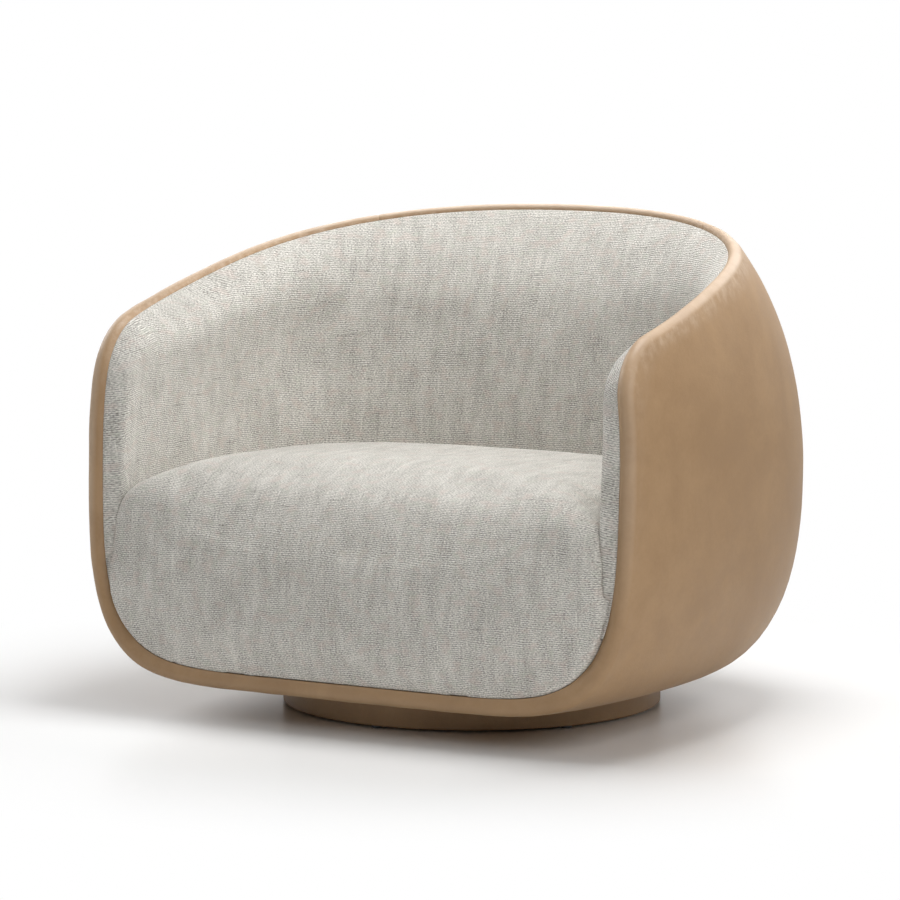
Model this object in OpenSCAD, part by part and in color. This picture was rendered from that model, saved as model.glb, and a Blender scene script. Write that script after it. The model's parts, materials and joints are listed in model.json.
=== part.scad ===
// Swivel lounge chair: an egg-shaped leather shell, cut open at the front and top,
// lined with a padded inside back and holding a deep crowned seat, turning on a low round plinth.
// Millimetres, +Z up, front towards -Y. The origin is on the floor under the middle of the chair;
// the swivel axis stands a little in front of it. Shell formulas are written about that axis.

/* [Shell form] */
// Half of the overall width, at the belly
half_w = 500; // [450:1:520]
// Reach of the full egg to the front of its own centre, before the front is cut off
front_reach = 671; // [640:1:700]
// Reach of the egg to the back of its own centre
back_reach = 471; // [440:1:490]
// Egg centre in front of the swivel axis
egg_forward = 53; // [40:1:65]
// Squareness of the plan outline in front
plan_front = 2.44; // [2.3:0.02:2.5]
// Squareness of the plan outline at the back
plan_back = 2.84; // [2.5:0.02:3]
// Loss of squareness at the back, from the belly to a height of 333 above it
plan_relax = 0.5; // [0:0.05:0.6]
// Height of the widest place
belly_z = 385; // [370:1:400]
// Rise of the full side curve above the belly, and its squareness
side_rise = 510; // [490:1:540]
side_square = 2.46; // [2.1:0.02:2.6]
// Rise of the full back curve above the belly, and its squareness
back_rise = 525; // [500:1:550]
back_square = 2.12; // [2:0.02:2.3]
// Squareness of the lower curve in front, at the sides and at the back
low_front = 4.9; // [4:0.1:5]
low_side = 2.84; // [2.6:0.02:2.9]
low_back = 2.02; // [1.9:0.02:2.3]
// Ring on which the shell closes, above the plinth: radius and height
ring_r = 298; // [290:1:305]
ring_z = 51; // [49:1:54]

/* [Opening] */
// Front cut, measured forward of the axis at the height of the seat
front_y = 366; // [345:1:375]
// Backward lean of the front cut, in degrees
front_lean = 2; // [0:0.1:3]
// Height where the front cut and the top cut would cross
arm_z = 584; // [560:1:600]
// Slope of the top cut up to the back, in degrees
top_slope = 15.2; // [12:0.1:18]
// Radius of the arm corner seen from the side
corner_r = 104; // [70:1:120]
// Thickness of the rolled leather rim
rim_t = 25; // [22:1:28]
// Leather with its thin foam, over the moulded shell
skin_t = 8; // [6:1:10]
// Leather alone, where it turns in behind the rim
hem_t = 3; // [2:0.5:4]
// Width of the turned-in hem
hem_w = 30; // [20:1:36]

/* [Inside upholstery] */
// Half width between the arm pads
inner_w = 412; // [395:1:418]
// Face of the back pad behind the axis, at seat height
inner_back_y = 180; // [165:1:200]
// Recline of the back pad, in degrees
recline = 7; // [4:0.5:9]
// Thickness of the pad
pad_t = 62; // [50:1:66]
// Width of the roll-over from the rim on to the pad
pad_roll = 45; // [38:1:52]
// Lower edge of the pad
pad_low_z = 215; // [205:1:235]

/* [Seat] */
// Top of the seat at its front crown
seat_z = 384; // [375:1:392]
// Fall of the seat from the front crown to the back
seat_fall = 10; // [0:1:20]
// Foremost belly of the seat front, in front of the axis
seat_front_y = 378; // [372:1:384]
// Bottom of the seat front
apron_z = 82; // [80:1:88]
// Thickness of the front apron
apron_t = 62; // [50:1:64]
// Half width of the seat at its front face
seat_w = 414; // [405:1:420]

/* [Seat frame] */
// Board thickness of rails and ribs
board_t = 22; // [18:1:25]
// Top of the rails
rail_z = 235; // [228:1:240]
// Half width of the front rail
front_rail_w = 365; // [340:1:370]
// Rear face of the back rail, behind the axis
back_rail_y = 172; // [165:1:176]
// Distance of the side rails from the middle
side_rail_x = 335; // [320:1:345]
// Number of zigzag springs
spring_count = 5; // [4:1:6]
// Wire diameter of the springs
spring_wire = 3.6; // [3:0.2:4]
// Bend radius of the zigzag
spring_bend = 15; // [13:1:16]

/* [Plinth and swivel] */
// Outer radius over the leather
plinth_r = 293; // [285:1:300]
// Top of the plinth
plinth_top = 47; // [44:1:48]
// Height of the glides
glide_h = 4; // [3:0.5:6]
// Number of glides
glide_count = 6; // [4:1:8]
// Wall of the bent drum
drum_wall = 18; // [15:1:22]
// Side of the square swivel plates
plate_side = 230; // [200:5:260]
// Radius of the ball track
track_r = 105; // [95:1:110]
// Balls in the bearing and their radius
ball_count = 24; // [18:1:28]
ball_r = 4; // [3.5:0.5:4]
// Radius of the centre rivet
rivet_r = 12; // [10:1:14]

/* [Hidden] */

// The overall depth runs from the seat's belly to the back of the shell
swivel_y = (seat_front_y - (back_reach - egg_forward)) / 2;
relax_h = 333;
seam_gap = 0.3;

// Stations along half of the rim: lip, upright, arm corner and top, each with its own step
lip_steps = 12;
upright_steps = 8;
corner_steps = 6;
top_steps = 15;
rim_steps = lip_steps + upright_steps + corner_steps + top_steps;
// Height where the lip hands over to the upright
lip_top_z = 135;
// Stations down a path from the rim to the ring
path_steps = 12;
// Rim station of the seam between the wrap and the back panel
seam_step = rim_steps - 7;

function mix(a, b, t) = a + (b - a) * t;
function sgn_pow(v, e) = sign(v) * pow(abs(v), e);
function unit(v) = v / norm(v);
function mirror_x(p) = [-p[0], p[1], p[2]];

// Root of a rising function between two bounds, by halving
function root(f, lo, hi, n = 30) =
  n == 0 ? (lo + hi) / 2 :
  let (m = (lo + hi) / 2)
  f(m) > 0 ? root(f, lo, m, n - 1) : root(f, m, hi, n - 1);

// Share of the belly size that is left at a height above it
function rise_share(z, rise, square) =
  let (u = max(0, min(0.9999, (z - belly_z) / rise)))
  pow(1 - pow(u, square), 1 / square);

function back_plan(z) = plan_back - plan_relax * max(0, (z - belly_z) / relax_h);

// Squared circle of radius 1 in one direction
function squared(a, n) =
  let (c = cos(a), s = sin(a)) pow(pow(abs(c), n) + pow(abs(s), n), -1 / n) * [c, s];

// Outline of the egg in plan at a height, from -90 (front) through 0 (side) to 90 (back)
function plan_point(a, z, inset) =
  let (p = squared(a, a > 0 ? back_plan(z) : plan_front))
  let (side = rise_share(z, side_rise, side_square), back = rise_share(z, back_rise, back_square))
  [(half_w - inset) * side * p[0],
   (a > 0 ? (back_reach - inset) * back : (front_reach - inset) * side) * p[1]];

// Squareness of the lower curve in one plan direction
function low_square(s) = mix(low_side, s > 0 ? low_back : low_front, s * s);

// Point below the belly: g is the share of the way out from the ring to the belly outline
function lower_point(p, z, g) =
  let (r = ring_r * unit(p)) [mix(r[0], p[0], g), mix(r[1], p[1] - egg_forward, g), z];

function egg(a, z, inset = 0) =
  z >= belly_z ?
    let (p = plan_point(a, z, inset)) [p[0], p[1] - egg_forward, z] :
    let (p = plan_point(a, belly_z, inset), m = low_square(p[1] / norm(p)))
    let (q = min(1, (belly_z - z) / (belly_z - ring_z - inset)))
    lower_point(p, z, pow(1 - pow(q, m), 1 / m));

// The same surface by a turn: 1 per 300 above the belly, 0 at the belly and -1 on the ring
function turn_of(a, z, inset) =
  z >= belly_z ? (z - belly_z) / 300 :
  let (p = plan_point(a, belly_z, inset), m = low_square(p[1] / norm(p)))
  let (q = min(1, (belly_z - z) / (belly_z - ring_z - inset)))
  -atan2(q, pow(1 - pow(q, m), 1 / m)) / 90;

function egg_turn(a, u, inset) =
  u >= 0 ? egg(a, belly_z + 300 * u, inset) :
  let (p = plan_point(a, belly_z, inset), m = low_square(p[1] / norm(p)))
  let (c = abs(cos(90 * u)), s = abs(sin(90 * u)), k = pow(pow(c, m) + pow(s, m), -1 / m))
  lower_point(p, belly_z - k * s * (belly_z - ring_z - inset), u <= -1 ? 0 : k * c);

// Inside face of the arm and back pad, in the same angles
inner_y = 100;
inner_square = 2.6;
inner_front_reach = 900;
function inner_face(a, z, inset = 0) =
  let (p = squared(a, inner_square), side = rise_share(z, side_rise, side_square))
  let (back = inner_back_y + inner_y + tan(recline) * (z - seat_z))
  [(inner_w - inset) * side * p[0], (a > 0 ? back - inset : inner_front_reach) * p[1] - inner_y, z];

// Side view of the opening: front line, top line and the arc between them
front_dir = [sin(front_lean), cos(front_lean)];
function front_line_y(z) = -front_y + tan(front_lean) * (z - relax_h);
corner_point = [front_line_y(arm_z), arm_z];
corner_turn = 90 - top_slope - front_lean;
corner_reach = corner_r * tan(corner_turn / 2);
corner_start = corner_point - corner_reach * front_dir;
corner_centre = corner_start + corner_r * [front_dir[1], -front_dir[0]];
function top_line_z(y) = arm_z + tan(top_slope) * (y - corner_point[0]);

// Angle at which a surface meets a point of the side view
function angle_at(y, z, surf) = root(function (a) surf(a, z)[1] - y, -90, 90);

// Angle and height of a rim station on a surface, with the opening drawn in by off
function lip_mark(w, off, surf) =
  let (z1 = lip_top_z + off, a1 = angle_at(front_line_y(z1) + off, z1, surf))
  let (a = mix(-90, a1, 1 - pow(1 - w, 1.4)))
  let (z = root(function (h) front_line_y(h) + off - surf(a, h)[1], ring_z, z1 + 1))
  [a, w == 1 ? z1 : z];
function side_mark(y, z, surf) = [angle_at(y, z, surf), z];
function upright_mark(w, off, surf) =
  let (z = mix(lip_top_z + off, corner_start[1], w)) side_mark(front_line_y(z) + off, z, surf);
function corner_mark(w, off, surf) =
  let (d = 180 - front_lean - corner_turn * w, r = corner_r - off)
  side_mark(corner_centre[0] + r * cos(d), corner_centre[1] + r * sin(d), surf);
function top_mark(w, off, surf) =
  let (a0 = corner_mark(1, off, surf)[0], a = mix(a0, 90, w))
  [a, root(function (h) h - top_line_z(surf(a, h)[1]) + off / cos(top_slope), 450, 860)];
function rim_mark(i, off, surf) =
  i <= lip_steps ? lip_mark(i / lip_steps, off, surf) :
  i <= lip_steps + upright_steps ? upright_mark((i - lip_steps) / upright_steps, off, surf) :
  i <= rim_steps - top_steps ?
    corner_mark((i - lip_steps - upright_steps) / corner_steps, off, surf) :
    top_mark((i - rim_steps + top_steps) / top_steps, off, surf);
function rim_point(i, off, inset) =
  let (surf = function (a, z) egg(a, z, inset), m = rim_mark(i, off, surf)) surf(m[0], m[1]);

// Path over the egg from a rim station down to the ring, leaving the rim squarely
lip_end_angle = -24;
function ring_angle(i) =
  i <= lip_steps ? mix(-90, lip_end_angle, i / lip_steps) :
  mix(lip_end_angle, 90, pow((i - lip_steps) / (rim_steps - lip_steps), 1.3));
function shell_path(i, off, inset) =
  let (m = rim_mark(i, off, function (a, z) egg(a, z, inset)), u0 = turn_of(m[0], m[1], inset))
  [for (k = [0 : path_steps]) let (v = k / path_steps)
    egg_turn(mix(m[0], ring_angle(i), 1 - pow(1 - v, 1.7)), mix(u0, -1, pow(v, 1.15)), inset)];

// The same path starting a little further down, on its first chord
function lowered(path) =
  concat([mix(path[0], path[1], 0.03)], [for (k = [1 : path_steps]) path[k]]);

function reversed(list) = [for (k = [len(list) - 1 : -1 : 0]) list[k]];

// Section of the leather at a rim station: outer face, roll, turned-in hem, pocket, inner face
roll_r = rim_t / 2;
function leather_section(i) =
  let (outer = shell_path(i, roll_r, 0), inner = shell_path(i, roll_r + 2, skin_t))
  let (a = outer[0], b = rim_point(i, roll_r, rim_t), c = (a + b) / 2)
  let (out = unit(rim_point(i, 0, roll_r) - c), r = norm(a - c))
  concat(reversed(outer),
    [for (d = [36 : 36 : 144]) c + cos(d) * (a - c) + r * sin(d) * out],
    [b, rim_point(i, roll_r + hem_w, rim_t), rim_point(i, roll_r + hem_w, rim_t - hem_t),
     rim_point(i, roll_r + 2, rim_t - hem_t)],
    inner);

// Section of the moulded shell, standing in the leather's pocket
core_back = rim_t - hem_t - 2;
function core_section(i) =
  concat(reversed(lowered(shell_path(i, roll_r + 2, skin_t + seam_gap))),
    lowered(shell_path(i, roll_r + 2, core_back)));

// Skin of a body drawn through sections; closed rings of sections need no end caps
function strip_faces(n, m, ring) =
  [for (i = [0 : n - (ring ? 1 : 2)]) for (k = [0 : m - 1])
    let (a = i * m + k, b = i * m + (k + 1) % m, c = ((i + 1) % n) * m + k)
    let (d = ((i + 1) % n) * m + (k + 1) % m)
    each (ring ? [[a, b, d], [a, d, c]] : [[a, b, c], [b, d, c]])];
// Cap of a section made of two facing sides, such as the outer and inner face of a wall
function wall_cap(first, m, flip) =
  [for (k = [0 : m / 2 - 2]) let (a = first + k, b = first + k + 1, c = first + m - 1 - k)
    let (d = first + m - 2 - k) each (flip ? [[a, c, b], [b, c, d]] : [[a, b, c], [b, d, c]])];
function fan_cap(first, m, flip) =
  [for (k = [1 : m - 2]) flip ? [first, first + k + 1, first + k] : [first, first + k, first + k + 1]];

module ring_body(sections) {
  n = len(sections);
  m = len(sections[0]);
  polyhedron([for (s = sections) each s], strip_faces(n, m, true));
}

module open_body(sections) {
  n = len(sections);
  m = len(sections[0]);
  polyhedron([for (s = sections) each s],
    concat(strip_faces(n, m, false), wall_cap(0, m, true), wall_cap((n - 1) * m, m, false)));
}

module fan_body(sections) {
  n = len(sections);
  m = len(sections[0]);
  polyhedron([for (s = sections) each s],
    concat(strip_faces(n, m, false), fan_cap(0, m, true), fan_cap((n - 1) * m, m, false)));
}

// Sections all the way round from those of the right half, front to back
function both_sides(half) =
  concat(half, [for (i = [len(half) - 2 : -1 : 1]) [for (p = half[i]) mirror_x(p)]]);

module on_axis(z = 0) translate([0, swivel_y, z]) children();

module turned(count, from = 0) for (k = [0 : count - 1]) rotate(from + 360 * k / count) children();

// Leather outer cover
module leather_wrap() {
  half = [for (i = [0 : seam_step]) leather_section(i)];
  left = [for (i = [seam_step : -1 : 1]) [for (p = half[i]) mirror_x(p)]];
  color([0.65, 0.52, 0.38]) on_axis() open_body(concat(left, half));
}

module leather_back_panel() {
  half = [for (i = [seam_step : rim_steps]) leather_section(i)];
  left = [for (i = [len(half) - 2 : -1 : 0]) [for (p = half[i]) mirror_x(p)]];
  color([0.63, 0.5, 0.37]) on_axis() open_body(concat(half, left));
}

// Rigid moulded shell under the leather
module moulded_shell() {
  half = [for (i = [0 : rim_steps]) core_section(i)];
  color([0.45, 0.45, 0.43]) on_axis() ring_body(both_sides(half));
}

// Padded lining of arms and back: a roll-over at the rim, then the inside face down to its hem
first_pad_step = lip_steps + 2;
pad_surface = function (a, z) inner_face(a, z);
pad_low_angle = angle_at(front_line_y(pad_low_z) + pad_roll, pad_low_z, pad_surface);
pad_back_low_z = rail_z + 15;
pad_shell_gap = 4;
pad_rim_gap = 0.8;
pad_path_steps = 5;
function pad_back_point(a, z) =
  let (p = inner_face(a, z), t = inner_face(a + 0.5, z) - p)
  let (b = p + pad_t * (a >= 90 ? [0, 1, 0] : unit([t[1], -t[0], 0])))
  let (c = [b[0], b[1] + egg_forward], dir = atan2(c[1], c[0]))
  let (limit = function (h) egg(h, z, rim_t + pad_shell_gap))
  let (e = limit(root(function (h) atan2(limit(h)[1] + egg_forward, limit(h)[0]) - dir, -90, 90, 24)))
  norm(c) <= norm([e[0], e[1] + egg_forward]) ? b : e;
function pad_section(i) =
  let (m = rim_mark(i, pad_roll, pad_surface), face = inner_face(m[0], m[1]))
  let (n = rim_mark(i, 9, pad_surface), knee = inner_face(n[0], n[1]))
  let (top = rim_point(i, 7, rim_t + pad_rim_gap))
  let (w = (i - first_pad_step) / (rim_steps - first_pad_step), a1 = mix(pad_low_angle, 90, w))
  let (low = mix(pad_low_z, pad_back_low_z, min(1, 2.5 * w)))
  let (line = [for (k = [0 : pad_path_steps]) let (v = k / pad_path_steps)
    [mix(m[0], a1, 1 - pow(1 - v, 1.5)), mix(m[1], low, v)]])
  concat(
    [for (v = [0 : 0.2 : 0.9]) (1 - v) * (1 - v) * top + 2 * v * (1 - v) * knee + v * v * face],
    [for (p = line) inner_face(p[0], p[1])],
    [for (k = [pad_path_steps : -1 : 1]) pad_back_point(line[k][0], line[k][1])],
    [rim_point(i, roll_r + hem_w + 2, rim_t + pad_rim_gap)]);

module inside_pad() {
  half = [for (i = [first_pad_step : rim_steps]) pad_section(i)];
  left = [for (i = [len(half) - 2 : -1 : 0]) [for (p = half[i]) mirror_x(p)]];
  color([0.74, 0.72, 0.68]) on_axis() fan_body(concat(half, left));
}

// Seat: an upright crowned front that rolls over on to the top, drawn in to the back pad
deck_low_z = rail_z + spring_wire + 1.8;
deck_top_z = deck_low_z + 6.8;
seat_side_gap = 5;
apron_back_y = -seat_front_y + apron_t;
seat_mid_z = 230;
front_bulge = 22;
front_fall = 14;
deck_corner = 36;
function seat_half_width(y) =
  let (a = angle_at(y, seat_z, function (h, z) inner_face(h, z, seat_side_gap)))
  inner_face(a, seat_z, seat_side_gap)[0];
function seat_top(y) =
  seat_z - seat_fall * (y + seat_front_y) / (inner_back_y + seat_front_y);

// Lower half of the front outline: it follows the leather rim at a small gap
low_count = lip_steps + 1;
rim_gap = 4;
rim_outline = [for (i = [0 : low_count]) let (p = rim_point(i, roll_r, rim_t + rim_gap)) [p[0], p[2]]];
upper_turns = [8, 20, 31, 40, 47, 54, 63, 75, 90];

// Right half of a station's outline, from the middle of the bottom to the middle of the top
function half_outline(w, low, top, square) =
  concat(low, [for (d = upper_turns) let (p = squared(d, square))
    [d == 90 ? 0 : w * p[0], seat_mid_z + (top - seat_mid_z) * p[1]]]);
function apron_low(w, bottom) =
  [for (p = rim_outline) [min(p[0], w), max(p[1], bottom)]];
function deck_low(w) =
  [for (i = [0 : low_count]) let (p = squared(90 * (1 - i / (low_count + 0.4)), 8))
    [i == 0 ? 0 : w * p[0], seat_mid_z + deck_corner - (seat_mid_z + deck_corner - deck_top_z) * p[1]]];

// One station: place, lean of its plane and right half of its outline
function front_station(t) =
  let (y = -seat_front_y + front_bulge * (1 - pow(1 - pow(t, 3.2), 1 / 3.2)))
  let (half = half_outline(seat_w, apron_low(seat_w, apron_z), seat_z - front_fall, 5.4))
  [y, 0, [for (p = half) [p[0] * pow(t, 0.95), mix(seat_mid_z, p[1], t)]]];
front_shares = [0.04, 0.35, 0.6, 0.78, 0.9, 0.97, 1];
body_shares = [0, 0.12, 0.3, 0.48, 0.64, 0.78, 0.88, 0.945, 0.985];
function apron_station(y, w, top) = [y, 0, half_outline(w, apron_low(w, apron_z), top, 5.4)];
function deck_station(v) =
  let (y = mix(apron_back_y + 0.6, inner_back_y - seat_side_gap - 1, v), w = seat_half_width(y))
  [y, v, half_outline(w, deck_low(w), seat_top(y) - 12 * pow(v, 8), 5.4)];
function seat_stations() =
  let (w1 = seat_half_width(apron_back_y), y1 = inner_back_y - seat_side_gap)
  concat(
    [for (t = front_shares) front_station(t)],
    [apron_station(-seat_front_y + 31, inner_w - 2, seat_z - 9),
     apron_station(-seat_front_y + 42, inner_w - 5, seat_z - 5),
     apron_station(-seat_front_y + 54, w1 - 1, seat_z - 2),
     apron_station(apron_back_y, w1, seat_top(apron_back_y))],
    [for (v = body_shares) deck_station(v)],
    [[y1, 1, half_outline(60, deck_low(60), seat_top(y1) - 24, 4)]]);
function seat_section(s) =
  let (right = [for (p = s[2]) [p[0], s[0] + s[1] * tan(recline) * (p[1] - seat_z), p[1]]])
  let (last = len(right) - 1)
  concat([right[last]], [for (k = [last - 1 : -1 : 1]) mirror_x(right[k])],
    [for (k = [0 : last - 1]) right[k]]);

module seat_cushion() {
  color([0.8, 0.79, 0.76]) on_axis() fan_body([for (s = seat_stations()) seat_section(s)]);
}

// Thin felt deck between springs and seat
module deck_pad() {
  y0 = apron_back_y + 3;
  color([0.35, 0.33, 0.3]) on_axis(deck_low_z) linear_extrude(deck_top_z - deck_low_z - 0.4)
    polygon([[-front_rail_w, y0], [front_rail_w, y0], [front_rail_w, 20], [250, back_rail_y - 2],
      [-250, back_rail_y - 2], [-front_rail_w, 20]]);
}

// Zigzag springs from the front rail to the back rail
rail_front_y = apron_back_y + 2;
spring_y0 = rail_front_y + board_t / 2;
spring_y1 = back_rail_y - board_t / 2;
spring_turns = floor((spring_y1 - spring_y0) / (2 * spring_bend));
spring_run = 22;
spring_half = 240;
spring_lift = 0.2;
module spring_run_at(y) translate([-spring_run / 2, y, 0]) rotate([0, 90, 0])
  cylinder(r = spring_wire / 2, h = spring_run, $fn = 24);

module zigzag_spring() {
  pitch = 2 * spring_bend;
  for (k = [0 : spring_turns]) spring_run_at(spring_y0 + pitch * k);
  for (k = [0 : spring_turns - 1])
    translate([(k % 2 == 0 ? 1 : -1) * spring_run / 2, spring_y0 + pitch * k + spring_bend, 0])
      rotate(k % 2 == 0 ? -90 : 90)
      rotate_extrude(angle = 180, $fn = 48) translate([spring_bend, 0]) circle(spring_wire / 2, $fn = 24);
}

function spring_x(k) = mix(-spring_half, spring_half, k / (spring_count - 1));

module seat_springs() {
  color("silver") on_axis(rail_z + spring_wire / 2 + spring_lift)
    for (k = [0 : spring_count - 1]) translate([spring_x(k), 0, 0]) zigzag_spring();
}

// Clips that hold the first and last run of each spring down on the rails
clip_wall = 1.2;
clip_l = 14;
module spring_clip() {
  r = spring_wire / 2;
  out = r + clip_wall;
  translate([-clip_l / 2, 0, 0]) rotate([90, 0, 90]) linear_extrude(clip_l) difference() {
    union() {
      translate([-out, -r - spring_lift]) square([2 * out, r + spring_lift]);
      intersection() {
        circle(out, $fn = 32);
        translate([-out, 0]) square([2 * out, out]);
      }
    }
    circle(r + 0.05, $fn = 32);
    translate([-r - 0.05, -r - 1]) square([2 * r + 0.1, r + 1]);
  }
}

module spring_clips() {
  color("dimgray") on_axis(rail_z + spring_wire / 2 + spring_lift)
    for (k = [0 : spring_count - 1]) for (y = [spring_y0, spring_y0 + 2 * spring_bend * spring_turns])
      translate([spring_x(k), y, 0]) spring_clip();
}

// Boards of the seat frame; rails stand on the bottom board and widen upward with the shell
board_bottom_z = 53;
board_step_z = 74;
board_top_z = 82;
module upright_board(outline) rotate([90, 0, 0]) linear_extrude(board_t) polygon(outline);

function rail_outline(low_w, wide_z, wide_w) =
  [[-low_w, board_top_z], [low_w, board_top_z], [mix(low_w, wide_w, 0.75), mix(board_top_z, wide_z, 0.4)],
   [wide_w, wide_z], [wide_w, rail_z], [-wide_w, rail_z], [-wide_w, wide_z],
   [-mix(low_w, wide_w, 0.75), mix(board_top_z, wide_z, 0.4)]];

module front_rail() {
  color("burlywood") on_axis() translate([0, rail_front_y + board_t, 0])
    upright_board(rail_outline(270, 165, front_rail_w));
}

module back_rail() {
  color("burlywood") on_axis() translate([0, back_rail_y, 0])
    upright_board(rail_outline(230, 190, side_rail_x - board_t / 2));
}

module side_rail(side) {
  y0 = rail_front_y + board_t;
  y1 = back_rail_y - board_t;
  on_axis() translate([side * side_rail_x - board_t / 2, 0, 0]) rotate([90, 0, 90])
    linear_extrude(board_t)
    polygon([[y0, 150], [y0 + 60, 120], [60, 120], [y1, 190], [y1, rail_z], [y0, rail_z]]);
}

module left_rail() color("burlywood") side_rail(-1);

module right_rail() color("burlywood") side_rail(1);

// Back ribs: upright boards between the back pad, the back rail and the moulded shell
rib_low_z = 82;
rib_top_z = 605;
rib_steps = 12;
core_inset = core_back + 3.4;
function shell_back_y(x, z) =
  egg(root(function (a) x - egg(a, z, core_inset)[0], 0, 90), z, core_inset)[1];
function pad_back_y(x, z) =
  let (a = root(function (h) x - pad_back_point(h, z)[0], 0, 89)) pad_back_point(a, z)[1] + 3;
module back_rib(x, low_z = rib_low_z) {
  heights = [for (k = [0 : rib_steps]) mix(low_z, rib_top_z, k / rib_steps)];
  reach = abs(x) + 9;
  outer = [for (z = heights) [shell_back_y(reach, z), z]];
  inner = [for (z = reversed(heights)) if (z > rail_z + 5) [pad_back_y(max(0, abs(x) - 9), z), z]];
  foot = [[inner[len(inner) - 1][0], rail_z], [back_rail_y + 0.2, rail_z], [back_rail_y + 0.2, low_z]];
  color("tan") on_axis() translate([x - 9, 0, 0]) rotate([90, 0, 90])
    linear_extrude(18) polygon(concat(outer, inner, foot));
}

module back_rib_centre() back_rib(0);

module back_rib_left() back_rib(-110);

module back_rib_right() back_rib(110);

module back_rib_far_left() back_rib(-215, 110);

module back_rib_far_right() back_rib(215, 110);

// Gussets between the side rails and the moulded shell
gusset_ys = [-170, -20];
gusset_low_z = 135;
gusset_t = 18;
gusset_steps = 4;
function shell_side_x(y, z) =
  egg(angle_at(y, z, function (a, h) egg(a, h, core_inset)), z, core_inset)[0];
module shell_gusset(y) {
  x0 = side_rail_x + board_t / 2 + 0.2;
  top_z = pad_low_z - 4;
  near_y = y < -50 ? y - gusset_t / 2 : y + gusset_t / 2;
  heights = [for (k = [0 : gusset_steps]) mix(gusset_low_z, top_z, k / gusset_steps)];
  translate([0, y + gusset_t / 2, 0]) rotate([90, 0, 0]) linear_extrude(gusset_t)
    polygon(concat([[x0, top_z], [x0, gusset_low_z]], [for (z = heights) [shell_side_x(near_y, z), z]]));
}

module shell_gussets() {
  color("tan") on_axis() for (side = [0, 1]) mirror([side, 0, 0])
    for (y = gusset_ys) shell_gusset(y);
}

// Stepped bottom board: its lower disc fills the shell's ring, its upper disc lies on the shell
plate_hole = plate_side / 2 - 15;
upper_bolt_r = 90;
upper_plate_z = 50;
plate_t = 3;
screw_r = 3;
tee_barrel_r = 5;
access_r = 40;
board_ring_gap = 2.5;
board_lap = 8;
board_shift = 6;
module bottom_board() {
  deep = board_top_z - board_bottom_z + 2;
  color("burlywood") on_axis() difference() {
    union() {
      translate([0, 0, board_bottom_z])
        cylinder(r = ring_r - board_ring_gap, h = board_step_z - board_bottom_z, $fn = 120);
      translate([0, -board_shift, board_step_z])
        cylinder(r = ring_r + board_lap, h = board_top_z - board_step_z, $fn = 120);
    }
    translate([0, 0, board_bottom_z - 1]) cylinder(r = access_r, h = deep, $fn = 60);
    turned(4, 45) translate([upper_bolt_r, 0, board_bottom_z - 1]) {
      cylinder(r = screw_r, h = deep, $fn = 24);
      translate([0, 0, deep - tee_barrel_l - 1]) cylinder(r = tee_barrel_r, h = tee_barrel_l + 1, $fn = 24);
    }
  }
}

// Square pressed plate with its raised ball track; the lower one lies on the base board
lower_plate_z = 35;
ball_z = (lower_plate_z + plate_t + upper_plate_z) / 2;
track_half = 10;
track_h = 3.5;
groove_r = ball_r + seam_gap;
module square_plate(z) {
  corner = 14;
  reach = plate_side / 2 - corner;
  translate([0, 0, z]) linear_extrude(plate_t) union() {
    square([plate_side, 2 * reach], center = true);
    square([2 * reach, plate_side], center = true);
    for (x = [-reach, reach]) for (y = [-reach, reach]) translate([x, y]) circle(corner, $fn = 32);
  }
}

module swivel_lower_plate() {
  color("gainsboro") on_axis() difference() {
    union() {
      square_plate(lower_plate_z);
      rotate_extrude($fn = 96) translate([track_r - track_half, lower_plate_z + plate_t - 1])
        square([2 * track_half, track_h + 1]);
    }
    rotate_extrude($fn = 96) translate([track_r, ball_z]) circle(groove_r, $fn = 32);
    translate([0, 0, lower_plate_z - 1]) cylinder(r = rivet_r, h = 20, $fn = 48);
    for (x = [-1, 1]) for (y = [-1, 1]) translate([x * plate_hole, y * plate_hole, lower_plate_z - 1])
      cylinder(r = screw_r + 0.2, h = 10, $fn = 24);
  }
}

module swivel_upper_plate() {
  color("silver") on_axis() difference() {
    union() {
      rotate(45) square_plate(upper_plate_z);
      rotate_extrude($fn = 96) translate([track_r - track_half, upper_plate_z - track_h])
        square([2 * track_half, track_h + 1]);
    }
    rotate_extrude($fn = 96) translate([track_r, ball_z]) circle(groove_r, $fn = 32);
    translate([0, 0, upper_plate_z - 5]) cylinder(r = rivet_r + rivet_play, h = 20, $fn = 48);
    turned(4, 45) translate([upper_bolt_r, 0, upper_plate_z - 5])
      cylinder(r = screw_r + 0.2, h = 20, $fn = 24);
  }
}

// Hollow rivet that holds both plates together and lets the upper one turn
rivet_play = 0.06;
rivet_wall = 3;
rivet_flange = 6;
rivet_flange_t = 2.5;
module centre_rivet() {
  low_z = lower_plate_z - rivet_flange_t;
  top_z = upper_plate_z + plate_t + 0.3;
  color("darkgray") on_axis() difference() {
    union() {
      translate([0, 0, low_z]) cylinder(r = rivet_r + rivet_flange, h = rivet_flange_t, $fn = 48);
      translate([0, 0, low_z]) cylinder(r = rivet_r, h = top_z + rivet_flange_t - low_z, $fn = 48);
      translate([0, 0, top_z]) cylinder(r = rivet_r + rivet_flange, h = rivet_flange_t, $fn = 48);
    }
    translate([0, 0, low_z - 1]) cylinder(r = rivet_r - rivet_wall, h = 40, $fn = 48);
  }
}

// Ball cage between the two tracks, with a pocket for each ball
module ball_cage() {
  color("goldenrod") on_axis(ball_z - 1) difference() {
    linear_extrude(2) difference() {
      circle(track_r + 7.5, $fn = 96);
      circle(track_r - 7.5, $fn = 96);
    }
    turned(ball_count) translate([track_r, 0, -1]) cylinder(r = ball_r + 0.1, h = 4, $fn = 24);
  }
}

module bearing_balls() {
  color("lightgray") on_axis(ball_z) turned(ball_count) translate([track_r, 0, 0]) sphere(ball_r, $fn = 32);
}

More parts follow.
